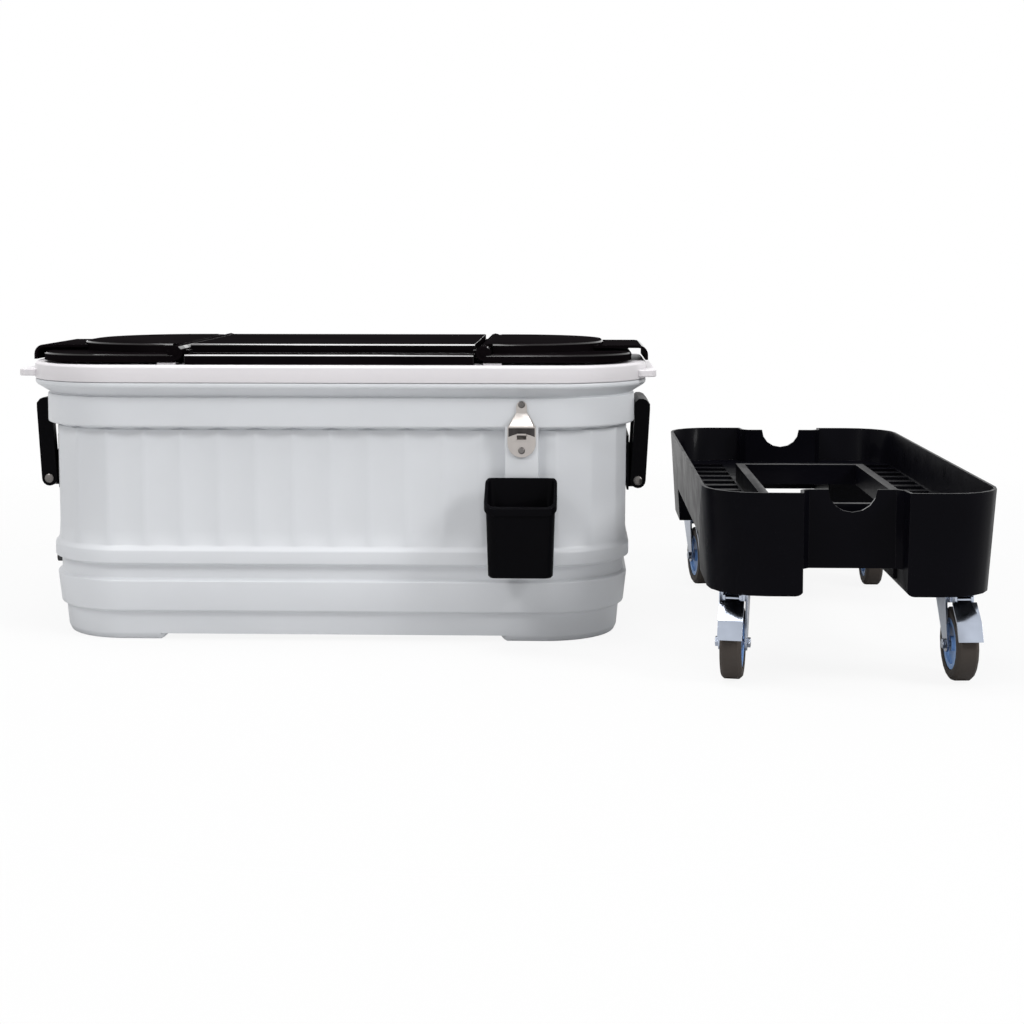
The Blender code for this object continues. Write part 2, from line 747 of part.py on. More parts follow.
def drain_pieces(group):
    """Spout through the left end, its nut in the tub and the plug outside."""
    face = -(RIM_LENGTH / 2 - GROOVE_INSET)
    tub_face = -(RIM_LENGTH / 2 - TUB_INSET - TUB_DRAFT)
    nut_face = tub_face + FIT_GAP
    end = tub_face + DRAIN_INNER_REACH
    tube = DRAIN_BORE + DRAIN_TUBE_WALL
    flange_face = face - FIT_GAP - DRAIN_FLANGE_THICKNESS

    def along(start, stop, radius, sides=SMALL_SIDES):
        return rod((start, -DRAIN_SETBACK, DRAIN_HEIGHT), (stop, -DRAIN_SETBACK, DRAIN_HEIGHT), radius, sides)

    spout = shaped(along(flange_face, face - FIT_GAP, DRAIN_FLANGE_RADIUS),
                   join(along(flange_face + DRAIN_FLANGE_THICKNESS / 2, end, tube))
                   + cut(along(flange_face - FIT_GAP, end + FIT_GAP, DRAIN_BORE)))
    nut = shaped(along(nut_face, nut_face + DRAIN_NUT_LENGTH, DRAIN_NUT_RADIUS, 6),
                 cut(along(tub_face - DRAIN_NUT_LENGTH, end + DRAIN_NUT_LENGTH, tube + FIT_GAP)))
    head_face = flange_face - FIT_GAP
    plug = shaped(along(head_face - PLUG_HEAD_LENGTH, head_face, PLUG_HEAD_RADIUS),
                  join(along(head_face - PLUG_HEAD_LENGTH / 2, head_face + PLUG_STEM_LENGTH,
                             DRAIN_BORE - FIT_GAP)))
    pull = anchor("drain_plug_pull", (head_face, -DRAIN_SETBACK, DRAIN_HEIGHT), group)
    piece("drain_spout", spout, "drain", group, group)
    piece("drain_nut", nut, "drain", group, group)
    piece("drain_plug", plug, "drain", pull, group)


# Lid

def lid_ring(half_length, half_depth, corner, inset, height):
    """One level of the lid's outline, drawn in by the inset."""
    outline = rounded_outline(half_length - inset, half_depth - inset, corner - inset, steps=RIM_STEPS)
    return [(x, y, height) for x, y in outline]


def lid_form(grow):
    """Whole lid, or with grow its hollow: lower tier, ledge and plateau."""
    tier = (LID_HALF_LENGTH, LID_HALF_DEPTH, LID_CORNER)
    plateau = (PLATEAU_HALF_LENGTH, PLATEAU_HALF_DEPTH, PLATEAU_CORNER)
    return loft([
        lid_ring(*tier, grow, FRAME_TOP + FIT_GAP - grow),
        lid_ring(*tier, grow, LID_LEDGE_TOP - LID_EDGE - grow),
        lid_ring(*tier, grow + LID_EDGE, LID_LEDGE_TOP - grow),
        lid_ring(*plateau, grow, LID_LEDGE_TOP - grow),
        lid_ring(*plateau, grow, LID_PLATEAU_TOP - LID_EDGE - grow),
        lid_ring(*plateau, grow + LID_EDGE, LID_PLATEAU_TOP - grow),
    ])


def slab(low_x, high_x, low_z=0.0, high_z=1.0, half_y=1.0):
    """Box that takes a slice of the lid between two values of X."""
    return box((min(low_x, high_x), -half_y, low_z), (max(low_x, high_x), half_y, high_z))


def hinge_rod(side, start, end, radius, sides=SMALL_SIDES):
    """Rod on a hinge's axis from start to end along Y."""
    x = side * HINGE_REACH
    return rod((x, start, HINGE_HEIGHT), (x, end, HINGE_HEIGHT), radius, sides)


def lid_slice(low_x, high_x, bottom):
    """Hollow part of the lid between two values of X, open below."""
    wall = math.copysign(LID_WALL, high_x - low_x)
    hollow = shaped(lid_form(LID_WALL), keep(slab(low_x + wall, high_x - wall)))
    return shaped(lid_form(0.0), keep(slab(low_x, high_x, bottom)) + cut(hollow))


def lug_spans():
    """Where the middle section's hinge lugs lie along Y, front and back."""
    return [tuple(sorted((side * LUG_START, side * (LUG_START + LUG_WIDTH)))) for side in (-1, 1)]


def lid_center():
    """Middle section with two lugs at each hinge."""
    reach = HINGE_REACH - HINGE_CLEARANCE
    steps = []
    for side in (-1, 1):
        for start, end in lug_spans():
            x = side * HINGE_REACH
            web = sorted((x, side * (reach - LID_WALL / 2)))
            steps += join(hinge_rod(side, start, end, KNUCKLE_RADIUS),
                          box((web[0], start, LID_LEDGE_TOP - LID_WALL - LID_EDGE),
                              (web[1], end, HINGE_HEIGHT + HINGE_PIN_RADIUS)))
        steps += cut(hinge_rod(side, -1, 1, HINGE_PIN_RADIUS + FIT_GAP))
    return shaped(lid_slice(-reach, reach, FRAME_TOP + FIT_GAP), steps)


def grip(side):
    """Lip that arches over the end of a leaf."""
    centre_x, centre_z = GRIP_REACH - GRIP_BEND, GRIP_TOP - GRIP_BEND

    def bend(radius, order):
        angles = [math.pi / 2 * step / CORNER_STEPS for step in order]
        return [(centre_x + radius * math.sin(angle), centre_z + radius * math.cos(angle))
                for angle in angles]

    outline = [(GRIP_ROOT, GRIP_TOP), *bend(GRIP_BEND, range(CORNER_STEPS + 1)), (GRIP_REACH, GRIP_TIP),
               (GRIP_REACH - GRIP_THICKNESS, GRIP_TIP),
               *bend(GRIP_BEND - GRIP_THICKNESS, range(CORNER_STEPS, -1, -1)),
               (GRIP_ROOT, GRIP_TOP - GRIP_THICKNESS)]
    return plate_facing_y([(side * x, z) for x, z in outline], -GRIP_WIDTH / 2, GRIP_WIDTH / 2)


def lid_leaf(side):
    """End leaf with its knuckles, clear of the middle section's lugs, and its lip grip."""
    start = side * HINGE_REACH
    body = lid_slice(start, side * RIM_LENGTH / 2, FRAME_TOP + LEAF_LIFT + FIT_GAP)
    steps = join(grip(side), hinge_rod(side, -KNUCKLE_END, KNUCKLE_END, KNUCKLE_RADIUS))
    for low, high in lug_spans():
        span = sorted((start - side * 2 * HINGE_POCKET, start + side * HINGE_POCKET))
        steps += cut(box((span[0], low - FIT_GAP, 0), (span[1], high + FIT_GAP, 1)))
    steps += cut(hinge_rod(side, -1, 1, HINGE_PIN_RADIUS + FIT_GAP))
    return shaped(body, steps)


def lid_pieces(group):
    """Middle section, both leaves and their pins."""
    piece("lid_center", lid_center(), "lid", group, group)
    for side, word in ((-1, "left"), (1, "right")):
        hinge = anchor(f"lid_{word}_hinge", (side * HINGE_REACH, 0, HINGE_HEIGHT), group)
        piece(f"lid_leaf_{word}", lid_leaf(side), "lid", hinge, group)
        pin = hinge_rod(side, -KNUCKLE_END, KNUCKLE_END, HINGE_PIN_RADIUS)
        piece(f"hinge_pin_{word}", pin, "steel", group, group)


# Opener and cap catcher

def screw(x, face, height):
    """Round-headed screw into the front wall, its head resting on a face."""
    top = SCREW_HEAD_HEIGHT
    profile = [(0.0, top), (SCREW_HEAD_RADIUS - top / 2, top), (SCREW_HEAD_RADIUS, top / 2),
               (SCREW_HEAD_RADIUS, 0.0), (SCREW_SHANK_RADIUS, 0.0), (SCREW_SHANK_RADIUS, -SCREW_LENGTH),
               (0.0, -SCREW_LENGTH)]
    return moved(turned(profile, SMALL_SIDES), Matrix.Translation((x, face, height)) @ FACING_Y)


def bottle_opener(wall):
    """Pressed plate with a neck, a shield, a hood over the cap and a tongue under it."""
    x0 = FIXTURE_OFFSET
    neck_centre = OPENER_TOP - OPENER_NECK_HALF
    neck = [(OPENER_NECK_HALF * math.cos(math.pi * step / SMALL_SIDES * 2),
             neck_centre + OPENER_NECK_HALF * math.sin(math.pi * step / SMALL_SIDES * 2))
            for step in range(SMALL_SIDES // 2 + 1)]
    bowl = [(-OPENER_SHIELD_HALF * math.cos(math.pi * step / SMALL_SIDES),
             OPENER_SHIELD_CENTRE - OPENER_SHIELD_HALF * math.sin(math.pi * step / SMALL_SIDES))
            for step in range(SMALL_SIDES + 1)]
    outline = neck + [(-OPENER_NECK_HALF, HOOD_TOP), (-OPENER_SHIELD_HALF, OPENER_SHIELD_TOP)]
    outline += bowl + [(OPENER_SHIELD_HALF, OPENER_SHIELD_TOP), (OPENER_NECK_HALF, HOOD_TOP)]
    face = wall - FIT_GAP
    front = face - OPENER_THICKNESS
    middle = face - OPENER_THICKNESS / 2
    plate_body = plate_facing_y([(x0 + x, z) for x, z in outline], front, face)
    hood = leaning_slab((middle, HOOD_TOP, HOOD_ROOT_HALF),
                        (front - HOOD_REACH, HOOD_EDGE + OPENER_THICKNESS, HOOD_HALF_WIDTH))
    tongue = leaning_slab((middle, TONGUE_BOTTOM + OPENER_THICKNESS, TONGUE_HALF_WIDTH),
                          (front - TONGUE_REACH, TONGUE_TIP, TONGUE_HALF_WIDTH))
    holes = [rod((x0, wall, z), (x0, front - FIT_GAP, z), SCREW_SHANK_RADIUS + FIT_GAP)
             for z in (OPENER_SCREW_TOP, OPENER_SCREW_BOTTOM)]
    return shaped(plate_body, join(hood, tongue) + cut(*holes)), front


def leaning_slab(root, edge):
    """Slab as thick as the opener between two ends, each a depth, a top height and a half width."""
    rings = []
    for depth, top, half in (root, edge):
        corners = ((-half, top - OPENER_THICKNESS), (half, top - OPENER_THICKNESS), (half, top), (-half, top))
        rings.append([(FIXTURE_OFFSET + x, depth, z) for x, z in corners])
    return loft(rings)


def catcher_collar(ring, back, mouth_height):
    """Thickened edge around the front and the sides of the bucket's sloped mouth."""
    front = back - 3 * CATCHER_HALF_DEPTH
    near = back - CATCHER_WALL
    high, low = mouth_height(near), mouth_height(front)
    outline = [(near, high + COLLAR_HEIGHT), (front, low + COLLAR_HEIGHT),
               (front, low - COLLAR_HEIGHT), (near, high - COLLAR_HEIGHT)]
    band = plate_facing_x(outline, FIXTURE_OFFSET - 2 * CATCHER_HALF_WIDTH,
                          FIXTURE_OFFSET + 2 * CATCHER_HALF_WIDTH)
    sleeve = loft([ring(-COLLAR_REACH, 0.0, height) for height in (CATCHER_BOTTOM, CATCHER_BACK_TOP)])
    return shaped(sleeve, keep(band))


def catcher_bracket(face):
    """Wall plate with a tee that the bucket's hooks slide over."""
    x0 = FIXTURE_OFFSET
    front = face - BRACKET_THICKNESS
    neck_end = front - TEE_STANDOFF
    head_end = neck_end - BRACKET_THICKNESS
    body = box((x0 - BRACKET_HALF_WIDTH, front, BRACKET_BOTTOM), (x0 + BRACKET_HALF_WIDTH, face, BRACKET_TOP))
    neck = box((x0 - TEE_NECK_HALF, neck_end - BRACKET_THICKNESS / 2, TEE_BOTTOM),
               (x0 + TEE_NECK_HALF, face - BRACKET_THICKNESS / 2, TEE_TOP))
    head = box((x0 - TEE_HALF_WIDTH, head_end, TEE_BOTTOM), (x0 + TEE_HALF_WIDTH, neck_end, TEE_TOP))
    holes = [rod((x, face + FIT_GAP, z), (x, front - FIT_GAP, z), SCREW_SHANK_RADIUS + FIT_GAP)
             for x, z in screw_places()[2:]]
    return shaped(body, join(neck, head) + cut(*holes)), front, head_end


def cap_catcher(bracket_front, tee_front):
    """Open bucket with a higher back and two hooks behind it."""
    x0 = FIXTURE_OFFSET
    back = tee_front - FIT_GAP
    middle_y = back - CATCHER_HALF_DEPTH

    def ring(inset, taper, height):
        points = rounded_outline(CATCHER_HALF_WIDTH - inset - taper, CATCHER_HALF_DEPTH - inset - taper / 2,
                                 CATCHER_CORNER - inset)
        return [(x0 + x, middle_y + y + taper / 2, height) for x, y in points]

    outer = loft([ring(CATCHER_WALL, CATCHER_TAPER, CATCHER_BOTTOM),
                  ring(0.0, CATCHER_TAPER, CATCHER_BOTTOM + CATCHER_WALL), ring(0.0, 0.0, CATCHER_BACK_TOP)])
    inner = loft([ring(CATCHER_WALL, CATCHER_TAPER, CATCHER_BOTTOM + CATCHER_WALL),
                  ring(CATCHER_WALL, 0.0, CATCHER_BACK_TOP + CATCHER_WALL)])
    mouth_back, mouth_front = back - CATCHER_WALL, back - 2 * CATCHER_HALF_DEPTH

    def mouth_height(depth):
        share = (mouth_back - depth) / (mouth_back - mouth_front)
        return CATCHER_BACK_TOP + (CATCHER_FRONT_TOP - CATCHER_BACK_TOP) * share

    clear = mouth_front - 2 * COLLAR_REACH
    above = CATCHER_BACK_TOP + COLLAR_HEIGHT
    slope = plate_facing_x([(mouth_back, CATCHER_BACK_TOP), (clear, mouth_height(clear)), (clear, above),
                            (mouth_back, above)],
                           x0 - 2 * CATCHER_HALF_WIDTH, x0 + 2 * CATCHER_HALF_WIDTH)
    into_wall = back - CATCHER_WALL / 2
    hook_back = bracket_front - FIT_GAP
    neck_side = TEE_NECK_HALF + FIT_GAP
    head_side = TEE_HALF_WIDTH + FIT_GAP
    outer_side = head_side + HOOK_THICKNESS
    hooks = []
    for side in (-1, 1):
        arm = sorted((x0 + side * head_side, x0 + side * outer_side))
        finger = sorted((x0 + side * neck_side, x0 + side * outer_side))
        hooks.append(box((arm[0], into_wall, TEE_BOTTOM), (arm[1], hook_back, TEE_TOP + TEE_STANDOFF)))
        hooks.append(box((finger[0], bracket_front - TEE_STANDOFF + FIT_GAP, TEE_BOTTOM),
                         (finger[1], hook_back, TEE_TOP + FIT_GAP)))
    stop = box((x0 - outer_side + HOOK_THICKNESS / 2, into_wall, TEE_TOP + FIT_GAP),
               (x0 + outer_side - HOOK_THICKNESS / 2, bracket_front - TEE_STANDOFF, TEE_TOP + TEE_STANDOFF))
    collar = catcher_collar(ring, back, mouth_height)
    return shaped(outer, join(collar) + cut(inner, slope) + join(stop, *hooks))


def fixture_pieces(group):
    """Opener, catcher and their fasteners on the front wall."""
    opener, opener_front = bottle_opener(strip_face() - FIT_GAP)
    piece("bottle_opener", opener, "steel", group, group)
    for word, (x, z) in zip(("top", "bottom"), screw_places()):
        piece(f"opener_screw_{word}", screw(x, opener_front - FIT_GAP, z), "steel", group, group)
    bracket, bracket_front, tee_front = catcher_bracket(strip_face() - FIT_GAP)
    piece("catcher_bracket", bracket, "black", group, group)
    for word, (x, z) in zip(("left", "right"), screw_places()[2:]):
        piece(f"catcher_screw_{word}", screw(x, bracket_front - FIT_GAP, z), "steel", group, group)
    slide = anchor("cap_catcher_slide", (FIXTURE_OFFSET, tee_front, TEE_TOP), group)
    piece("cap_catcher", cap_catcher(bracket_front, tee_front), "black", slide, group)


# Handles

def handle(side):
    """Moulded bail: two legs and a grip, hinged at the foot of its legs."""
    x0, z0, radius = HANDLE_PIVOT_REACH, HANDLE_PIVOT_HEIGHT, HANDLE_FOOT_RADIUS
    foot = [(x0 + radius * math.cos(angle), z0 + radius * math.sin(angle))
            for angle in (math.pi * (1 + step / 8) for step in range(9))]
    top = [(HANDLE_TOP_OUTER, HANDLE_TOP - 2 * HANDLE_OUTER_DROP),
           (HANDLE_TOP_OUTER, HANDLE_TOP - HANDLE_OUTER_DROP),
           (HANDLE_TOP_OUTER - HANDLE_ROUNDING, HANDLE_TOP - HANDLE_OUTER_DROP / 4),
           (HANDLE_TOP_OUTER - 2 * HANDLE_ROUNDING, HANDLE_TOP),
           (HANDLE_TOP_INNER + HANDLE_ROUNDING, HANDLE_TOP), (HANDLE_TOP_INNER, HANDLE_TOP - HANDLE_ROUNDING)]
    outline = [(side * x, z) for x, z in foot + top]
    body = plate_facing_y(outline, -HANDLE_HALF_WIDTH, HANDLE_HALF_WIDTH)
    inner = HANDLE_HALF_WIDTH - HANDLE_LEG
    window = box((side * x0 - HANDLE_TOP, -inner, z0 - 2 * radius),
                 (side * x0 + HANDLE_TOP, inner, HANDLE_TOP - HANDLE_GRIP_HEIGHT))
    bore = rod((side * x0, -1, z0), (side * x0, 1, z0), PIVOT_RADIUS + FIT_GAP)
    return shaped(body, cut(window, bore))


def handle_bracket(side):
    """Wall plate with two ears that carry the handle's pivots."""
    x0, z0 = HANDLE_PIVOT_REACH, HANDLE_PIVOT_HEIGHT
    wall = RIM_LENGTH / 2 - FLUTE_INSET + FIT_GAP
    back = sorted((side * wall, side * (wall + WALL_PLATE_THICKNESS)))
    body = box((back[0], -WALL_PLATE_HALF_WIDTH, WALL_PLATE_BOTTOM),
               (back[1], WALL_PLATE_HALF_WIDTH, WALL_PLATE_TOP))
    nose = [(x0 + EAR_RADIUS * math.cos(angle), z0 + EAR_RADIUS * math.sin(angle))
            for angle in (math.pi * (step / 8 - 0.5) for step in range(9))]
    root = wall + WALL_PLATE_THICKNESS / 2
    outline = [(side * x, z) for x, z in nose + [(root, EAR_BACK_TOP), (root, z0 - EAR_RADIUS)]]
    outside = HANDLE_HALF_WIDTH - HANDLE_LEG - FIT_GAP
    ears = [plate_facing_y(outline, start, start + EAR_THICKNESS)
            for start in (-outside, outside - EAR_THICKNESS)]
    bore = rod((side * x0, -1, z0), (side * x0, 1, z0), PIVOT_RADIUS + FIT_GAP)
    return shaped(body, join(*ears) + cut(bore))


def pivot_screw(side, front):
    """Shouldered screw through a leg into its ear, its head outside the leg."""
    length = HANDLE_LEG + EAR_THICKNESS + FIT_GAP
    top = PIVOT_HEAD_HEIGHT + FIT_GAP
    profile = [(0.0, top), (PIVOT_HEAD_RADIUS * 0.7, top), (PIVOT_HEAD_RADIUS, top - PIVOT_HEAD_HEIGHT / 2),
               (PIVOT_HEAD_RADIUS, FIT_GAP), (PIVOT_RADIUS, FIT_GAP), (PIVOT_RADIUS, -length), (0.0, -length)]
    turn = FACING_Y if front < 0 else FACING_Y.inverted()
    place = Matrix.Translation((side * HANDLE_PIVOT_REACH, front * HANDLE_HALF_WIDTH, HANDLE_PIVOT_HEIGHT))
    return moved(turned(profile, SMALL_SIDES), place @ turn)


def handle_pieces(group):
    """Both handles with their brackets and pivot screws."""
    for side, word in ((-1, "left"), (1, "right")):
        pivot = anchor(f"handle_{word}_pivot", (side * HANDLE_PIVOT_REACH, 0, HANDLE_PIVOT_HEIGHT), group)
        piece(f"handle_{word}", handle(side), "black", pivot, group)
        piece(f"handle_bracket_{word}", handle_bracket(side), "black", group, group)
        for front, place in ((-1, "front"), (1, "back")):
            piece(f"pivot_screw_{word}_{place}", pivot_screw(side, front), "steel", group, group)


# Wheeled base

def base_ring(inset, height):
    """One level of the tray's outline, drawn in by the draft of its skirt."""
    drawn = inset + BASE_DRAFT * (BASE_RIM - height)
    return [(x, y, height) for x, y in
            rounded_outline(BASE_WIDTH / 2 - drawn, BASE_LENGTH / 2 - drawn, BASE_CORNER - inset)]


def base_block(inset, low, high):
    """Block that follows the skirt between two heights."""
    return loft([base_ring(inset, low), base_ring(inset, high)])


def recess_block(front, grow, low, high):
    """Block that takes the step out of one short end."""
    mouth, floor = BASE_LENGTH / 2 + RECESS_DEPTH, BASE_LENGTH / 2 - RECESS_DEPTH - grow
    outline = [(-POD_INNER_X - RECESS_FLARE - grow, mouth), (-POD_INNER_X - grow, floor + RECESS_FLARE),
               (-POD_INNER_X + RECESS_FLARE - grow, floor), (POD_INNER_X - RECESS_FLARE + grow, floor),
               (POD_INNER_X + grow, floor + RECESS_FLARE), (POD_INNER_X + RECESS_FLARE + grow, mouth)]
    return plate([(x, front * y) for x, y in outline], low, high)


def pod_hollows(low, high):
    """The four spaces inside the pods between two heights."""
    across = box((-1, -POD_INNER_Y - BASE_WALL, 0), (1, POD_INNER_Y + BASE_WALL, 1))
    half = POD_INNER_X + RECESS_FLARE + 2 * BASE_WALL
    along = box((-half, -1, 0), (half, 1, 1))
    return shaped(base_block(BASE_WALL, low, high), cut(across, along))


def pod_rounding(side):
    """Cutter that rounds the pods' lower edge beside the lengthwise channel."""
    centre_x, centre_z = POD_INNER_X + POD_ROUNDING, POD_BOTTOM + POD_ROUNDING
    outline = [(centre_x - POD_ROUNDING * math.cos(math.pi / 2 * step / CORNER_STEPS),
                centre_z - POD_ROUNDING * math.sin(math.pi / 2 * step / CORNER_STEPS))
               for step in range(CORNER_STEPS + 1)]
    below = POD_BOTTOM - POD_ROUNDING
    clear = POD_INNER_X - POD_ROUNDING
    outline += [(centre_x, below), (clear, below), (clear, centre_z)]
    return plate_facing_y([(side * x, z) for x, z in outline], -BASE_LENGTH, BASE_LENGTH)


def notch(front):
    """Round notch in the recessed end wall."""
    angles = [math.pi * step / NOTCH_STEPS for step in range(NOTCH_STEPS + 1)]
    outline = [(NOTCH_HALF_WIDTH * math.cos(angle), BASE_RIM - NOTCH_DEPTH * math.sin(angle))
               for angle in angles]
    outline += [(-NOTCH_HALF_WIDTH, BASE_RIM + NOTCH_DEPTH), (NOTCH_HALF_WIDTH, BASE_RIM + NOTCH_DEPTH)]
    wall = BASE_LENGTH / 2 - RECESS_DEPTH
    depths = sorted((front * (wall - 2 * BASE_WALL), front * (wall + BASE_WALL)))
    return plate_facing_y(outline, depths[0], depths[1])


def deck_slots():
    """Rows of slots beside the curb, one row to each side of the well."""
    near = WELL_HALF_WIDTH + CURB_WIDTH + SLOT_MARGIN
    far = BASE_WIDTH / 2 - BASE_DRAFT * (BASE_RIM - DECK_TOP) - BASE_WALL - SLOT_MARGIN
    count = int((BASE_LENGTH - 2 * BASE_CORNER) / SLOT_PITCH) + 1
    slots = []
    for index in range(count):
        middle = (index - (count - 1) / 2) * SLOT_PITCH
        for side in (-1, 1):
            edges = sorted((side * near, side * far))
            slots.append(box((edges[0], middle - SLOT_OPENING / 2, DECK_TOP - 2 * DECK_THICKNESS),
                             (edges[1], middle + SLOT_OPENING / 2, DECK_TOP + DECK_THICKNESS)))
    return gathered(slots)


def base_tray():
    """Skirt with four pods, slatted deck and raised curb around the well, as one moulding."""
    above = BASE_RIM + 2 * BASE_WALL
    under_deck = DECK_TOP - DECK_THICKNESS
    curb = box((-WELL_HALF_WIDTH - CURB_WIDTH, WELL_NEAR - CURB_WIDTH, 0),
               (WELL_HALF_WIDTH + CURB_WIDTH, WELL_FAR + CURB_WIDTH, CURB_TOP))
    ends = (-1, 1)
    tray = shaped(base_block(BASE_WALL, DECK_TOP, above),
                  cut(curb, *(recess_block(front, BASE_WALL, 0, 1) for front in ends)))
    passage = box((-POD_INNER_X + BASE_WALL, -BASE_LENGTH / 2 + RECESS_DEPTH + BASE_WALL, 0),
                  (POD_INNER_X - BASE_WALL, BASE_LENGTH / 2 - RECESS_DEPTH - BASE_WALL, under_deck))
    crossing = shaped(base_block(BASE_WALL, POD_BOTTOM - BASE_WALL, under_deck),
                      keep(box((-1, -POD_INNER_Y + BASE_WALL, 0), (1, POD_INNER_Y - BASE_WALL, 1))))
    arch = box((-1, -POD_INNER_Y, 0), (1, POD_INNER_Y, ARCH_TOP))
    sides = shaped(arch, cut(box((-POD_INNER_X, -1, 0), (POD_INNER_X, 1, 1))))
    trims = [sorted((front * (BASE_LENGTH / 2 - 2 * RECESS_DEPTH), front * BASE_LENGTH)) for front in ends]
    end_trims = [box((-POD_INNER_X, edges[0], 0), (POD_INNER_X, edges[1], RECESS_BOTTOM)) for edges in trims]
    well = box((-WELL_HALF_WIDTH, WELL_NEAR, under_deck - DECK_THICKNESS),
               (WELL_HALF_WIDTH, WELL_FAR, above))
    stem_places = [(x * CASTER_REACH_X, y * CASTER_REACH_Y) for x in ends for y in ends]
    low, high = CEILING_BOTTOM - CEILING_THICKNESS, CEILING_BOTTOM + 2 * CEILING_THICKNESS
    stem_holes = [rod((*place, low), (*place, high), STEM_RADIUS + FIT_GAP) for place in stem_places]
    steps = cut(*(recess_block(front, 0.0, 0, 1) for front in ends))
    steps += cut(tray, passage, crossing, sides, *end_trims)
    steps += cut(pod_hollows(POD_BOTTOM - BASE_WALL, CEILING_BOTTOM),
                 pod_hollows(CEILING_BOTTOM + CEILING_THICKNESS, under_deck))
    steps += cut(well, deck_slots(), gathered(stem_holes), *(notch(front) for front in ends))
    steps += cut(*(pod_rounding(side) for side in ends))
    return shaped(base_block(0.0, POD_BOTTOM, BASE_RIM), steps)


# Casters, each in its own frame: swivel axis on Z, wheel trailing towards -Y

def axle_rod(start, end, radius, sides=SMALL_SIDES):
    """Rod on the wheel's axis."""
    return rod((start, -CASTER_TRAIL, WHEEL_RADIUS), (end, -CASTER_TRAIL, WHEEL_RADIUS), radius, sides)


def caster_head():
    """Fixed swivel head with the stem that goes up through the pod's ceiling."""
    top = CEILING_BOTTOM - FIT_GAP
    stem_top = CEILING_BOTTOM + CEILING_THICKNESS + STEM_REACH
    return turned([(0.0, stem_top), (STEM_RADIUS, stem_top), (STEM_RADIUS, top), (HEAD_RADIUS, top),
                   (HEAD_RADIUS, top - HEAD_HEIGHT), (0.0, top - HEAD_HEIGHT)])


def stem_nut():
    """Hexagon nut on top of the pod's ceiling."""
    low = CEILING_BOTTOM + CEILING_THICKNESS + FIT_GAP
    nut = rod((0, 0, low), (0, 0, low + STEM_NUT_HEIGHT), STEM_NUT_RADIUS, 6)
    return shaped(nut, cut(rod((0, 0, 0), (0, 0, 1), STEM_RADIUS + FIT_GAP)))


def fork_top():
    """Top of the swivel fork, just under the fixed head."""
    return CEILING_BOTTOM - 2 * FIT_GAP - HEAD_HEIGHT


def swivel_fork():
    """Crown with two legs down to the axle and two ears for the pedal."""
    half = FORK_GAP / 2 + FORK_LEG
    depth = FORK_DEPTH / 2
    crown = box((-half, -depth, CROWN_BOTTOM), (half, depth, fork_top()))
    angles = [math.pi * (step / SMALL_SIDES * 2 - 0.5) for step in range(SMALL_SIDES // 2 + 1)]
    foot = [(-CASTER_TRAIL - FORK_FOOT_RADIUS * math.sin(angle),
             WHEEL_RADIUS - FORK_FOOT_RADIUS * math.cos(angle)) for angle in angles]
    outline = foot + [(-depth, CROWN_BOTTOM - FORK_LEG), (-depth, CROWN_BOTTOM + FORK_LEG),
                      (depth, CROWN_BOTTOM + FORK_LEG), (depth, CROWN_BOTTOM - FORK_LEG)]
    legs = [plate_facing_x(outline, start, start + FORK_LEG) for start in (-half, half - FORK_LEG)]
    ear = [(-depth + FORK_LEG, fork_top() - FORK_LEG), (-depth + FORK_LEG, CROWN_BOTTOM),
           (PEDAL_PIVOT_Y - PEDAL_BARREL, PEDAL_PIVOT_Z - PEDAL_BARREL),
           (PEDAL_PIVOT_Y - PEDAL_BARREL, PEDAL_PIVOT_Z + PEDAL_BARREL)]
    ears = [plate_facing_x(ear, start, start + FORK_LEG)
            for start in (-PEDAL_EAR_HALF_WIDTH, PEDAL_EAR_HALF_WIDTH - FORK_LEG)]
    pin = rod((-PEDAL_EAR_HALF_WIDTH, PEDAL_PIVOT_Y, PEDAL_PIVOT_Z),
              (PEDAL_EAR_HALF_WIDTH, PEDAL_PIVOT_Y, PEDAL_PIVOT_Z), PEDAL_BARREL / 2, 8)
    hole = axle_rod(-1, 1, AXLE_RADIUS + FIT_GAP)
    return shaped(crown, join(*legs, *ears, pin) + cut(hole))


def brake_pedal():
    """Bent tread plate on a barrel between the fork's ears."""
    outline = [(PEDAL_PIVOT_Y, PEDAL_PIVOT_Z + PEDAL_THICKNESS),
               (PEDAL_KNEE_Y, PEDAL_KNEE_Z + PEDAL_THICKNESS),
               (PEDAL_TIP_Y - PEDAL_THICKNESS, PEDAL_TIP_Z), (PEDAL_TIP_Y, PEDAL_TIP_Z),
               (PEDAL_KNEE_Y + PEDAL_THICKNESS, PEDAL_KNEE_Z), (PEDAL_PIVOT_Y, PEDAL_PIVOT_Z)]
    tread = plate_facing_x(outline, -PEDAL_HALF_WIDTH, PEDAL_HALF_WIDTH)
    barrel_half = PEDAL_EAR_HALF_WIDTH - FORK_LEG - FIT_GAP
    room = box((-1, PEDAL_PIVOT_Y - 1.5 * PEDAL_BARREL, PEDAL_PIVOT_Z - 2 * PEDAL_BARREL), (1, 1, 1))
    sides = shaped(room, cut(box((-barrel_half, -1, 0), (barrel_half, 1, 2))))
    barrel = rod((-barrel_half, PEDAL_PIVOT_Y, PEDAL_PIVOT_Z), (barrel_half, PEDAL_PIVOT_Y, PEDAL_PIVOT_Z),
                 PEDAL_BARREL)
    bore = rod((-1, PEDAL_PIVOT_Y, PEDAL_PIVOT_Z), (1, PEDAL_PIVOT_Y, PEDAL_PIVOT_Z),
               PEDAL_BARREL / 2 + FIT_GAP, 8)
    return shaped(tread, cut(sides) + join(barrel) + cut(bore))


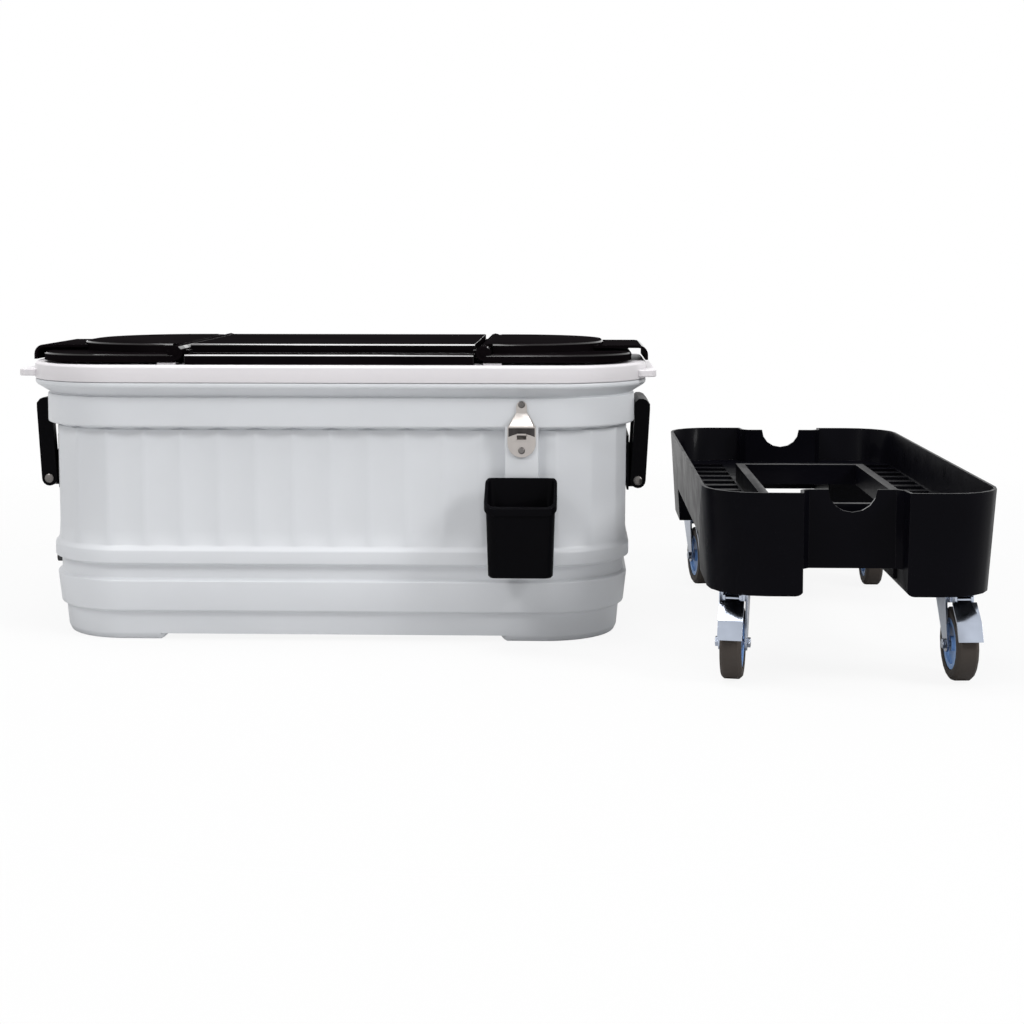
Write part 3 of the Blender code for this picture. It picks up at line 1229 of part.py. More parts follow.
def wheel_hub():
    """Dished wheel centre with its bore."""
    half, dish, bore = HUB_WIDTH / 2, HUB_WIDTH / 2 - HUB_DISH_DEPTH, AXLE_RADIUS + FIT_GAP
    profile = [(bore, half), (HUB_BOSS_RADIUS, half), (HUB_BOSS_RADIUS, dish), (HUB_DISH_RADIUS, dish),
               (HUB_DISH_RADIUS, half), (HUB_RADIUS, half), (HUB_RADIUS, -half), (HUB_DISH_RADIUS, -half),
               (HUB_DISH_RADIUS, -dish), (HUB_BOSS_RADIUS, -dish), (HUB_BOSS_RADIUS, -half), (bore, -half)]
    return on_axle(turned(profile, ring=True))


def tyre():
    """Tyre around the hub."""
    half, inner = TYRE_WIDTH / 2, HUB_RADIUS + FIT_GAP
    profile = [(inner, half), (WHEEL_RADIUS - TYRE_ROUNDING, half),
               (WHEEL_RADIUS, half - TYRE_ROUNDING),
               (WHEEL_RADIUS, TYRE_ROUNDING - half), (WHEEL_RADIUS - TYRE_ROUNDING, -half), (inner, -half)]
    return on_axle(turned(profile, ring=True))


def axle_bolt():
    """Bolt through both legs and the hub, with its head and its locked end."""
    half = FORK_GAP / 2 + FORK_LEG + FIT_GAP
    bolt = axle_rod(-half - AXLE_HEAD_LENGTH / 2, half + AXLE_HEAD_LENGTH / 2, AXLE_RADIUS)
    ends = [axle_rod(min(pair), max(pair), AXLE_HEAD_RADIUS, 6)
            for pair in ((side * half, side * (half + AXLE_HEAD_LENGTH)) for side in (-1, 1))]
    return shaped(bolt, join(*ends))


def on_axle(mesh):
    """Turned form laid on the wheel's axis."""
    return moved(mesh, Matrix.Translation((0, -CASTER_TRAIL, WHEEL_RADIUS)) @ FACING_X)


def caster_pieces(group):
    """Four casters that share their forms."""
    forms = {"head": caster_head(), "nut": stem_nut(), "fork": swivel_fork(), "pedal": brake_pedal(),
             "hub": wheel_hub(), "tyre": tyre(), "axle": axle_bolt()}
    corners = (("front_left", -1, -1, FRONT_LEFT_TURN), ("front_right", 1, -1, FRONT_RIGHT_TURN),
               ("back_left", -1, 1, BACK_LEFT_TURN), ("back_right", 1, 1, BACK_RIGHT_TURN))
    for corner, side_x, side_y, turn in corners:
        name = f"caster_{corner}"
        stand = anchor(f"{name}_place", (side_x * CASTER_REACH_X, side_y * CASTER_REACH_Y, 0), group)
        swivel = anchor(f"{name}_swivel", (0, 0, fork_top()), stand, turn)
        axle = anchor(f"{name}_axle_line", (0, -CASTER_TRAIL, WHEEL_RADIUS - fork_top()), swivel)
        pedal = anchor(f"{name}_pedal_line", (0, PEDAL_PIVOT_Y, PEDAL_PIVOT_Z - fork_top()), swivel)
        piece(f"{name}_head", forms["head"], "zinc", stand, stand)
        piece(f"{name}_stem_nut", forms["nut"], "zinc", stand, stand)
        piece(f"{name}_fork", forms["fork"], "zinc", swivel, stand)
        piece(f"{name}_axle_bolt", forms["axle"], "zinc", swivel, stand)
        piece(f"{name}_hub", forms["hub"], "hub", axle, stand)
        piece(f"{name}_tyre", forms["tyre"], "tyre", axle, stand)
        piece(f"{name}_pedal", forms["pedal"], "zinc", pedal, stand)


def main():
    """Build the cooler and its base around the middle of the whole object."""
    left_reach = RIM_LENGTH / 2 + TAB_REACH
    cooler_x = left_reach - (left_reach + GROUP_SPACING + BASE_WIDTH / 2) / 2
    cooler = anchor("cooler", (cooler_x, COOLER_SETBACK, 0))
    base = anchor("wheeled_base", (cooler_x + GROUP_SPACING, 0, 0))
    body_pieces(cooler)
    drain_pieces(cooler)
    lid_pieces(cooler)
    fixture_pieces(cooler)
    handle_pieces(cooler)
    piece("base_tray", base_tray(), "base", base, base)
    caster_pieces(base)
    bpy.context.view_layer.update()


clear_scene()
PARTS = collection("party_bar_cooler")
TOOLS = collection("cutters")
main()
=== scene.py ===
"""Looks of the party bar cooler and of the wheeled base beside it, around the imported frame.

Each sub-assembly is a class that holds its sizes, builds its pieces and dresses them with its finishes.
Metres, +Z up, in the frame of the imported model: the cooler's front faces -Y and its length runs along X.
"""

import json
import logging
import math
from collections.abc import Callable, Iterable
from dataclasses import dataclass, fields
from enum import Enum

import bmesh
import bpy
from mathutils import Matrix, Vector

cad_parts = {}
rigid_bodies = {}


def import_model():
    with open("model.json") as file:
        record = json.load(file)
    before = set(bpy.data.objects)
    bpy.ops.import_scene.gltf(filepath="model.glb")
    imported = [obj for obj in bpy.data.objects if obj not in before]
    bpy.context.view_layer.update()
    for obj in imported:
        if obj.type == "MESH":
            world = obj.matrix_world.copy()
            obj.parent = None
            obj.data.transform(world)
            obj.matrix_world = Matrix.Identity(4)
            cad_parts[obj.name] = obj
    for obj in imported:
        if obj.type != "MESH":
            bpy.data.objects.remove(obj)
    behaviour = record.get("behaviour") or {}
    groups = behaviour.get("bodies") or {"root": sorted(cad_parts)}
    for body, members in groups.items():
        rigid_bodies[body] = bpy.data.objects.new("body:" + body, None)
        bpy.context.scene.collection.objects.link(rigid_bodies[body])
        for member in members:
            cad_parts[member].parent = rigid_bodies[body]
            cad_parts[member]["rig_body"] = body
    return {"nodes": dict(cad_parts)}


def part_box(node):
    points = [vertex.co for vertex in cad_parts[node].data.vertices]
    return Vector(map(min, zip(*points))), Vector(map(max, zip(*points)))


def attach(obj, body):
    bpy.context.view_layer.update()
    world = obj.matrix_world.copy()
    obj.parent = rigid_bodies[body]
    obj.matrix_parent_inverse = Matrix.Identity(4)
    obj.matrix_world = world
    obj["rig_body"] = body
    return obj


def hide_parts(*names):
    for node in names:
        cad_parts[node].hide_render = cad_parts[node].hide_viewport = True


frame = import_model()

LOG = logging.getLogger("party_bar_cooler")
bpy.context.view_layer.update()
ROOT = "cooler_and_base"
Level = tuple[float, float]
Point = tuple[float, float, float]


def floor_middle(node: str) -> Vector:
    """The spot on the floor below the middle of a node of the frame."""
    low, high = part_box(node)
    return Vector(((low.x + high.x) / 2, (low.y + high.y) / 2, 0.0))


COOLER = floor_middle("top_frame")


class Place(Enum):
    """A choice of places that nodes are named by."""

    @property
    def word(self) -> str:
        """The place's word in a node's name."""
        return self.name.lower()


class Side(Place):
    """The two ends of the cooler, and the two long sides of the base."""

    LEFT = -1
    RIGHT = 1


class Depth(Place):
    """The two places along the depth."""

    FRONT = -1
    BACK = 1


class Grain(Enum):
    """Surface texture of a moulded or plated finish."""

    POLISHED = "polished"
    SATIN = "satin"
    BRUSHED = "brushed"
    CELLS = "cells"


# Finishes

COAT_ROUGHNESS = 0.08
CLOUD_SCALE = 7.0
CLOUD_DETAIL = 4.0
CLOUD_RANGE = (0.35, 0.65)
MARKS_SCALE = 28.0
MARKS_DETAIL = 6.0
MARKS_RANGE = (0.3, 0.7)
SMOOTHEST = 0.02
RELIEF_STRENGTH = 0.5
POLISHED_DETAIL = 2.0
MOULDED_DETAIL = 5.0


@dataclass(frozen=True)
class Finish:
    """One finish, as the values of its shader and of its fine texture."""

    name: str
    slot: str
    colour: tuple[float, float, float]
    roughness: float
    metallic: float = 0.0
    grain: Grain = Grain.SATIN
    scale: float = 900.0
    depth: float = 0.00006
    mottling: float = 0.03
    wear: float = 0.05
    coat: float = 0.0
    specular: float = 0.5
    stretch: tuple[float, float, float] = (1.0, 1.0, 1.0)

    def material(self) -> bpy.types.Material:
        """The material of this finish, made at its first use.

        Returns:
            The material, shared by every piece of the finish.
        """
        label = f"{self.name}_look"
        found = bpy.data.materials.get(label)
        if found is not None:
            return found
        surface = bpy.data.materials.new(label)
        surface.use_nodes = True
        tree = surface.node_tree
        shader = tree.nodes["Principled BSDF"]
        shader.inputs["Metallic"].default_value = self.metallic
        shader.inputs["Specular IOR Level"].default_value = self.specular
        shader.inputs["Coat Weight"].default_value = self.coat
        shader.inputs["Coat Roughness"].default_value = COAT_ROUGHNESS
        place = tree.nodes.new("ShaderNodeTexCoord")
        mapping = tree.nodes.new("ShaderNodeMapping")
        mapping.inputs["Scale"].default_value = self.stretch
        tree.links.new(place.outputs["Object"], mapping.inputs["Vector"])
        self._colour(tree, shader, mapping)
        self._roughness(tree, shader, mapping)
        self._bump(tree, shader, mapping)
        return surface

    def _colour(self, tree: bpy.types.NodeTree, shader: bpy.types.Node, mapping: bpy.types.Node) -> None:
        """Slow, slight change of the colour over the surface.

        Args:
            tree: node tree of the material.
            shader: its surface shader.
            mapping: node that gives the texture's place.
        """
        cloud = tree.nodes.new("ShaderNodeTexNoise")
        cloud.inputs["Scale"].default_value = CLOUD_SCALE
        cloud.inputs["Detail"].default_value = CLOUD_DETAIL
        ramp = tree.nodes.new("ShaderNodeValToRGB")
        darker = tuple(max(value * (1.0 - self.mottling), 0.0) for value in self.colour)
        lighter = tuple(min(value * (1.0 + self.mottling), 1.0) for value in self.colour)
        ramp.color_ramp.elements[0].position = CLOUD_RANGE[0]
        ramp.color_ramp.elements[0].color = (*darker, 1.0)
        ramp.color_ramp.elements[1].position = CLOUD_RANGE[1]
        ramp.color_ramp.elements[1].color = (*lighter, 1.0)
        tree.links.new(mapping.outputs["Vector"], cloud.inputs["Vector"])
        tree.links.new(cloud.outputs["Fac"], ramp.inputs["Fac"])
        tree.links.new(ramp.outputs["Color"], shader.inputs["Base Color"])

    def _roughness(self, tree: bpy.types.NodeTree, shader: bpy.types.Node, mapping: bpy.types.Node) -> None:
        """Handling marks: patches a little smoother or rougher than the rest.

        Args:
            tree: node tree of the material.
            shader: its surface shader.
            mapping: node that gives the texture's place.
        """
        marks = tree.nodes.new("ShaderNodeTexNoise")
        marks.inputs["Scale"].default_value = MARKS_SCALE
        marks.inputs["Detail"].default_value = MARKS_DETAIL
        spread = tree.nodes.new("ShaderNodeMapRange")
        spread.inputs["From Min"].default_value = MARKS_RANGE[0]
        spread.inputs["From Max"].default_value = MARKS_RANGE[1]
        spread.inputs["To Min"].default_value = max(self.roughness - self.wear, SMOOTHEST)
        spread.inputs["To Max"].default_value = self.roughness + self.wear
        tree.links.new(mapping.outputs["Vector"], marks.inputs["Vector"])
        tree.links.new(marks.outputs["Fac"], spread.inputs["Value"])
        tree.links.new(spread.outputs["Result"], shader.inputs["Roughness"])

    def _bump(self, tree: bpy.types.NodeTree, shader: bpy.types.Node, mapping: bpy.types.Node) -> None:
        """Fine relief of the finish.

        Args:
            tree: node tree of the material.
            shader: its surface shader.
            mapping: node that gives the texture's place.
        """
        if self.grain is Grain.CELLS:
            relief = tree.nodes.new("ShaderNodeTexVoronoi")
            height = relief.outputs["Distance"]
        else:
            relief = tree.nodes.new("ShaderNodeTexNoise")
            polished = self.grain is Grain.POLISHED
            relief.inputs["Detail"].default_value = POLISHED_DETAIL if polished else MOULDED_DETAIL
            height = relief.outputs["Fac"]
        relief.inputs["Scale"].default_value = self.scale
        bump = tree.nodes.new("ShaderNodeBump")
        bump.inputs["Strength"].default_value = RELIEF_STRENGTH
        bump.inputs["Distance"].default_value = self.depth
        tree.links.new(mapping.outputs["Vector"], relief.inputs["Vector"])
        tree.links.new(height, bump.inputs["Height"])
        tree.links.new(bump.outputs["Normal"], shader.inputs["Normal"])


WALL = Finish("wall_plastic", "shell_plastic", (0.62, 0.635, 0.66), 0.38, mottling=0.015, scale=700.0)
RIM = Finish("rim_plastic", "frame_plastic", (0.665, 0.643, 0.662), 0.36, mottling=0.012, scale=700.0)
TUB = Finish("tub_plastic", "shell_plastic", (0.66, 0.67, 0.69), 0.32, mottling=0.012, scale=500.0)
SMOKED = Finish("smoked_plastic", "smoked_plastic", (0.0038, 0.0028, 0.0034), 0.16,
                grain=Grain.POLISHED, scale=60.0, depth=0.00003, mottling=0.25, wear=0.03, coat=0.006,
                specular=0.0)
# Lighter copy of the smoked plastic with a full coat, for the lid middle's rounded and up-tilted faces: the
# lighter colour is a painted highlight, the coat real gloss.
SMOKED_PAINTED_HIGHLIGHT = Finish("smoked_edge", "smoked_plastic", (0.0120, 0.0100, 0.0110), 0.08,
                     grain=Grain.POLISHED, scale=60.0, depth=0.00002, mottling=0.25, wear=0.03, coat=1.0)
# Softer painted highlight for the leaves' rounded and up-tilted faces: a lighter colour, with a little more
# real gloss than the smoked plastic.
SMOKED_SOFT_PAINTED_HIGHLIGHT = Finish("smoked_shoulder", "smoked_plastic", (0.0080, 0.0065, 0.0070), 0.14,
                         grain=Grain.POLISHED, scale=60.0, depth=0.00002, mottling=0.25, wear=0.03, coat=0.20,
                         specular=0.15)
BLACK = Finish("black_plastic", "black_plastic", (0.0022, 0.0021, 0.0028), 0.34, scale=1400.0,
               mottling=0.10, coat=0.02, specular=0.015)
TRAY = Finish("tray_plastic", "base_plastic", (0.0022, 0.0021, 0.0034), 0.32, scale=800.0,
              mottling=0.12, coat=0.03, specular=0.02)
# Lighter copy of the tray plastic for its rounded and up-tilted faces: the lighter colour is a painted
# highlight, the coat real gloss.
TRAY_PAINTED_HIGHLIGHT = Finish("tray_edge", "base_plastic", (0.0045, 0.0042, 0.0060), 0.28, scale=800.0,
                   mottling=0.12, coat=0.2)
STEEL = Finish("brushed_steel", "stainless_steel", (0.46, 0.43, 0.41), 0.36, metallic=1.0,
               grain=Grain.BRUSHED, scale=260.0, depth=0.00003, stretch=(14.0, 14.0, 1.0))
SCREW = Finish("screw_steel", "stainless_steel", (0.16, 0.15, 0.145), 0.30, metallic=1.0,
               grain=Grain.POLISHED, scale=300.0, depth=0.00003, mottling=0.2)
# Dark steel for a thin sheet that paints the shade in the hollow under the opener's hood.
MOUTH_PAINTED_SHADE = Finish("shaded_steel", "stainless_steel", (0.055, 0.050, 0.050), 0.35, metallic=0.6,
               grain=Grain.BRUSHED, scale=260.0, depth=0.00003, mottling=0.2, stretch=(14.0, 14.0, 1.0),
               specular=0.2)
ZINC = Finish("bright_zinc", "zinc_plate", (0.40, 0.44, 0.52), 0.20, metallic=1.0,
              grain=Grain.POLISHED, scale=120.0, depth=0.00003, mottling=0.22, wear=0.05)
HUB = Finish("hub_plastic", "hub_plastic", (0.20, 0.36, 0.66), 0.38, scale=900.0, mottling=0.05)
TREAD = Finish("tread_rubber", "tread", (0.031, 0.023, 0.018), 0.72, scale=1500.0, depth=0.00012,
               mottling=0.15)
FOAM = Finish("rigid_foam", "insulation", (0.80, 0.72, 0.45), 0.90, grain=Grain.CELLS, scale=400.0,
              depth=0.0003)
SPOUT = Finish("drain_plastic", "drain_plastic", (0.028, 0.028, 0.030), 0.55, scale=900.0, mottling=0.08)


# Making pieces

NODE_WELD = 0.000002
FORM_WELD = 0.000001
FLAT_DEGREES = 0.6
# Range of the upward part of a face's normal within which a face takes the painted highlight finish.
PAINTED_HIGHLIGHT_TILT = (0.4, 0.92)
FILLET_SHARE = 0.45
SPENT = 1e-12


def finished(name: str, bm: bmesh.types.BMesh, finish: Finish, body: str, nodes: Iterable[str] = (),
             sharp: float = 32.0, bevel: float = 0.0, segments: int = 3,
             edge: Finish | None = None) -> bpy.types.Object:
    """Turn a bmesh into a dressed piece that rides on a body.

    Args:
        name: name of the piece.
        bm: its form, in the model's frame; it is freed.
        finish: its finish.
        body: body that it rides on.
        nodes: nodes of the frame that it stands for.
        sharp: angle in degrees from which an edge stays sharp.
        bevel: width of a modifier that rounds its edges, or none.
        segments: steps of that rounding.
        edge: lighter finish of the rounded edges, which paints their highlight, or none for the same.

    Returns:
        The piece.
    """
    mesh = bpy.data.meshes.new(name)
    bm.to_mesh(mesh)
    bm.free()
    mesh.shade_smooth()
    mesh.set_sharp_from_angle(angle=math.radians(sharp))
    mesh.materials.append(finish.material())
    piece = bpy.data.objects.new(name, mesh)
    bpy.context.scene.collection.objects.link(piece)
    if bevel:
        rounding = piece.modifiers.new("edges", "BEVEL")
        rounding.width = bevel
        rounding.segments = segments
        rounding.limit_method = "ANGLE"
        rounding.angle_limit = math.radians(sharp)
        rounding.miter_outer = "MITER_ARC"
        rounding.harden_normals = True
        # Rounded edges take the edge finish, a lighter copy that paints a highlight on them.
        if edge is not None:
            mesh.materials.append(edge.material())
            rounding.material = 1
    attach(piece, body)
    if nodes:
        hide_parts(*nodes)
    LOG.info("%s rides on %s in %s", name, body, finish.name)
    return piece


def body_of_node(node: str) -> str:
    """The body that a node of the frame belongs to."""
    return frame["nodes"][node]["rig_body"]


def softened(node: str, finish: Finish, bevel: float, sharp: float = 32.0, segments: int = 2,
             edge: Finish | None = None) -> bpy.types.Object:
    """A node's form with its triangles merged and its edges rounded.

    Args:
        node: node of the frame that the piece stands for.
        finish: its finish.
        bevel: width of its rounded edges.
        sharp: angle in degrees from which an edge is rounded.
        segments: steps of the rounding.
        edge: lighter finish that paints a highlight on the rounded edges and on faces tilted part way up, or
            none for the same.

    Returns:
        The piece.
    """
    bm = bmesh.new()
    bm.from_mesh(frame["nodes"][node].data)
    for layer in list(bm.loops.layers.float_vector.values()):
        bm.loops.layers.float_vector.remove(layer)
    bmesh.ops.remove_doubles(bm, verts=bm.verts[:], dist=NODE_WELD)
    bmesh.ops.join_triangles(bm, faces=bm.faces[:], angle_face_threshold=math.radians(FLAT_DEGREES),
                             angle_shape_threshold=math.pi)
    # Faces tilted part way up, towards the top lamps, take the edge finish as a painted highlight.
    if edge is not None:
        for face in bm.faces:
            face.material_index = int(PAINTED_HIGHLIGHT_TILT[0] < face.normal.z < PAINTED_HIGHLIGHT_TILT[1])
    return finished(f"{node}_form", bm, finish, body_of_node(node), [node], sharp, bevel, segments, edge)


def carried(nodes: Iterable[str], finish: Finish) -> None:
    """Dress nodes of the frame that stay as they are.

    Args:
        nodes: their names.
        finish: their finish.
    """
    for node in nodes:
        slots = frame["nodes"][node].data.materials
        slots.clear()
        slots.append(finish.material())


def filleted(profile: list[Level], radius: float, steps: int = 3, closed: bool = False) -> list[Level]:
    """A section with its corners rounded.

    Args:
        profile: corners of the section.
        radius: length that the rounding takes of each side, at most a fixed share of it.
        steps: steps of the rounding.
        closed: whether the last corner is joined to the first.

    Returns:
        The points of the rounded section.
    """
    points = []
    count = len(profile)
    for index, here in enumerate(profile):
        if not closed and index in (0, count - 1):
            points.append(here)
            continue
        corner = Vector(here)
        before, after = Vector(profile[index - 1]), Vector(profile[(index + 1) % count])
        start = corner + (before - corner).normalized() * min(radius, FILLET_SHARE * (before - corner).length)
        end = corner + (after - corner).normalized() * min(radius, FILLET_SHARE * (after - corner).length)
        for step in range(steps + 1):
            t = step / steps
            point = start * (1 - t) ** 2 + corner * 2 * t * (1 - t) + end * t ** 2
            points.append(tuple(point))
    return points


@dataclass
class RoundedTrack:
    """Rounded rectangle around a centre, walked by its length from the middle of the front."""

    centre: Vector
    half_x: float
    half_y: float
    radius: float
    walked_inset: float
    stations: int

    def spots(self) -> list[tuple[Vector, Vector]]:
        """Evenly spaced spots on the track.

        Returns:
            For each spot, the point from which the track's insets are measured inwards, and the way out.
        """
        flat_x, flat_y = self.half_x - self.radius, self.half_y - self.radius
        bend = self.radius - self.walked_inset
        arc = math.pi / 2 * bend
        legs = [(flat_x, "line"), (arc, "arc"), (2 * flat_y, "line"), (arc, "arc"), (2 * flat_x, "line"),
                (arc, "arc"), (2 * flat_y, "line"), (arc, "arc"), (flat_x, "line")]
        total = sum(length for length, _ in legs)
        spots = []
        for index in range(self.stations):
            left = total * index / self.stations
            heading = 0.0
            at = Vector((0.0, -flat_y, 0.0))
            for length, kind in legs:
                used = min(left, length)
                along = Vector((math.cos(heading), math.sin(heading), 0.0))
                if kind == "line":
                    at = at + along * used
                else:
                    heading += used / bend
                left -= used
                if left <= SPENT:
                    break
            out = Vector((math.sin(heading), -math.cos(heading), 0.0))
            spots.append((self.centre + at, out))
        return spots


def swept(track: RoundedTrack, section: list[Level],
          change: Callable[[int, Vector, float, float], Level] | None = None,
          ring: bool = False) -> bmesh.types.BMesh:
    """Skin that carries a section of insets and heights around a track.

    Args:
        track: the track.
        section: inset and height of each level.
        change: turns a spot's index and place and a level's inset and height into its own two.
        ring: whether the section closes on itself; otherwise its two ends are filled.

    Returns:
        The closed form.
    """
    levels = section + section[:1] if ring else section
    spots = track.spots()
    bm = bmesh.new()
    bmesh.ops.create_grid(bm, x_segments=len(spots), y_segments=len(levels) - 1, size=0.5)
    for vert in bm.verts:
        column = round((vert.co.x + 0.5) * len(spots)) % len(spots)
        row = round((vert.co.y + 0.5) * (len(levels) - 1))
        inset, height = levels[row]
        core, out = spots[column]
        if change is not None:
            inset, height = change(column, core + out * (track.radius - inset), inset, height)
        vert.co = core + out * (track.radius - inset) + Vector((0.0, 0.0, height))
    bmesh.ops.remove_doubles(bm, verts=bm.verts[:], dist=FORM_WELD)
    if not ring:
        bmesh.ops.holes_fill(bm, edges=[edge for edge in bm.edges if edge.is_boundary])
    bmesh.ops.recalc_face_normals(bm, faces=bm.faces[:])
    return bm


def block(low: Vector, high: Vector, radius: float, steps: int = 3) -> bmesh.types.BMesh:
    """Box with rounded edges.

    Args:
        low: its lowest corner.
        high: its highest corner.
        radius: radius of its edges.
        steps: steps of the rounding.

    Returns:
        The form.
    """
    bm = bmesh.new()
    bmesh.ops.create_cube(bm, size=1.0)
    bmesh.ops.scale(bm, vec=high - low, verts=bm.verts[:])
    bmesh.ops.translate(bm, vec=(low + high) / 2, verts=bm.verts[:])
    bmesh.ops.bevel(bm, geom=bm.edges[:], offset=radius, offset_type="OFFSET", segments=steps, profile=0.5,
                    affect="EDGES", material=-1)
    return bm


def turned(profile: list[Level], place: Matrix, steps: int = 48) -> bmesh.types.BMesh:
    """Turned form about a place's Z axis.

    Args:
        profile: radius and height of each point, starting and ending on the axis.
        place: where the axis stands.
        steps: steps around it.

    Returns:
        The closed form.
    """
    bm = bmesh.new()
    verts = [bm.verts.new((radius, 0.0, height)) for radius, height in profile]
    edges = [bm.edges.new(pair) for pair in zip(verts, verts[1:])]
    bmesh.ops.spin(bm, geom=verts + edges, cent=(0, 0, 0), axis=(0, 0, 1), angle=2 * math.pi, steps=steps,
                   use_merge=True)
    bmesh.ops.remove_doubles(bm, verts=bm.verts[:], dist=FORM_WELD)
    bmesh.ops.recalc_face_normals(bm, faces=bm.faces[:])
    bmesh.ops.transform(bm, matrix=place, verts=bm.verts[:])
    return bm


# Cooler body

@dataclass(frozen=True)
class RimOutline:
    """Outline of the rim, which the outer wall and the frame follow."""

    half_x: float = 0.453
    half_y: float = 0.220
    corner: float = 0.150
    walked_inset: float = 0.028

    def track(self, stations: int) -> RoundedTrack:
        """The outline with a number of stations."""
        return RoundedTrack(COOLER, self.half_x, self.half_y, self.corner, self.walked_inset, stations)


OUTLINE = RimOutline()
FIXTURES_X = 0.2725
HINGE_X = 0.2185
MOULDED_SHARP = 40.0


@dataclass(frozen=True)
class WallLevels:
    """Levels of the outer wall's section, each an inset from the rim's outline and a height."""

    underside: tuple[Level, ...] = ((0.085, 0.043), (0.085, 0.0208), (0.050, 0.0208), (0.050, 0.044))
    inner_face: tuple[Level, ...] = ((0.0375, 0.050), (0.0375, 0.3929))
    neck: tuple[Level, ...] = ((0.0345, 0.3929), (0.0345, 0.3747))
    lip: tuple[Level, ...] = ((0.0005, 0.3747), (0.0005, 0.3690), (0.0035, 0.3660))
    lip_groove: tuple[Level, ...] = ((0.0202, 0.3558), (0.0202, 0.3540))
    upper_band: tuple[Level, ...] = ((0.0175, 0.3530), (0.0175, 0.3125), (0.0195, 0.3103))
    flute_groove: tuple[Level, ...] = ((0.0325, 0.3103), (0.0325, 0.3082))
    fluted_band: tuple[Level, ...] = ((0.0287, 0.3066), (0.0300, 0.1380))
    rib: tuple[Level, ...] = ((0.0250, 0.1320), (0.0250, 0.1135))
    groove: tuple[Level, ...] = ((0.0340, 0.1105), (0.0340, 0.0910))
    lower_band: tuple[Level, ...] = ((0.0280, 0.0880), (0.0330, 0.0440))
    foot: tuple[Level, ...] = ((0.0400, 0.0410), (0.0430, 0.0080), (0.0470, 0.0))
    sole: tuple[Level, ...] = ((0.088, 0.0), (0.088, 0.040))

    def walked(self) -> list[Level]:
        """The levels in order, from inside the underside up, over the top and down to the sole."""
        return [level for feature in fields(self) for level in getattr(self, feature.name)]


@dataclass(frozen=True)
class OuterWall:
    """Outer wall with its flutes and feet, and the flat strip for the opener and the catcher."""

    levels: WallLevels = WallLevels()
    rounding: float = 0.0018
    long_run: float = 0.1
    run_rows: int = 8
    flutes: int = 42
    flute_steps: int = 12
    flute_depth: float = 0.0034
    flute_low: float = 0.1385
    flute_high: float = 0.3092
    flute_insets: tuple[float, float] = (0.026, 0.0316)
    fade_low: float = 0.004
    fade_high: float = 0.0015
    shallow_share: float = 0.72
    deeper_from: float = 0.270
    deeper_over: float = 0.035
    scallop: float = 0.0024
    scallop_low: float = 0.3062
    scallop_high: float = 0.3092
    scallop_inset: float = 0.0284
    sole_high: float = 0.0085
    sole_inset: float = 0.041
    arch_half: float = 0.234
    arch_ramp: float = 0.017
    arch_rise: float = 0.0148
    strip_half: float = 0.0236
    strip_setback: float = 0.0178
    strip_depth: float = 0.0155
    strip_low: float = 0.1335
    strip_high: float = 0.3150
    strip_edge: float = 0.0010

    def section(self) -> list[Level]:
        """Rounded section of the wall, with more rows along the flutes.

        Returns:
            Inset and height of each level.
        """
        corners = filleted(self.levels.walked(), self.rounding)
        rows = []
        for before, after in zip(corners, corners[1:]):
            rows.append(before)
            if before[1] - after[1] > self.long_run:
                rows += [tuple(Vector(before).lerp(Vector(after), row / self.run_rows))
                         for row in range(1, self.run_rows)]
        return rows + corners[-1:]

    def changed(self, column: int, place: Vector, inset: float, height: float) -> Level:
        """Flutes and scallops of the middle band, and arches between the feet.

        Args:
            column: index of the station.
            place: where it is.
            inset: inset of the level.
            height: height of the level.

        Returns:
            Its own inset and height.
        """
        share = (column % self.flute_steps) / self.flute_steps
        hollow = 1 - (2 * share - 1) ** 2
        shallowest, deepest = self.flute_insets
        if self.flute_low < height < self.flute_high and shallowest < inset < deepest:
            fade = min((self.flute_high - height) / self.fade_high,
                       (height - self.flute_low) / self.fade_low, 1.0)
            upper = min(max((height - self.deeper_from) / self.deeper_over, 0.0), 1.0)
            depth = self.flute_depth * (self.shallow_share + (1 - self.shallow_share) * upper)
            inset += depth * hollow * fade
        if self.scallop_low < height < self.scallop_high and inset > self.scallop_inset:
            height -= self.scallop * hollow
        if height < self.sole_high and inset > self.sole_inset:
            ramp = (self.arch_half + self.arch_ramp - abs(place.x - COOLER.x)) / self.arch_ramp
            ramp = min(max(ramp, 0.0), 1.0)
            height += self.arch_rise * ramp * ramp * (3 - 2 * ramp)
        return inset, height

    def strip(self) -> None:
        """Flat strip that the opener and the catcher are fixed to."""
        middle_x = COOLER.x + FIXTURES_X
        face = COOLER.y - OUTLINE.half_y + self.strip_setback
        low = Vector((middle_x - self.strip_half, face, self.strip_low))
        high = Vector((middle_x + self.strip_half, face + self.strip_depth, self.strip_high))
        finished("fixture_strip", block(low, high, self.strip_edge), WALL, ROOT)

    def build(self) -> None:
        """Make and dress the wall and its strip."""
        skin = swept(OUTLINE.track(self.flutes * self.flute_steps), self.section(), self.changed)
        finished("outer_wall", skin, WALL, ROOT, ["outer_shell"], MOULDED_SHARP)
        self.strip()


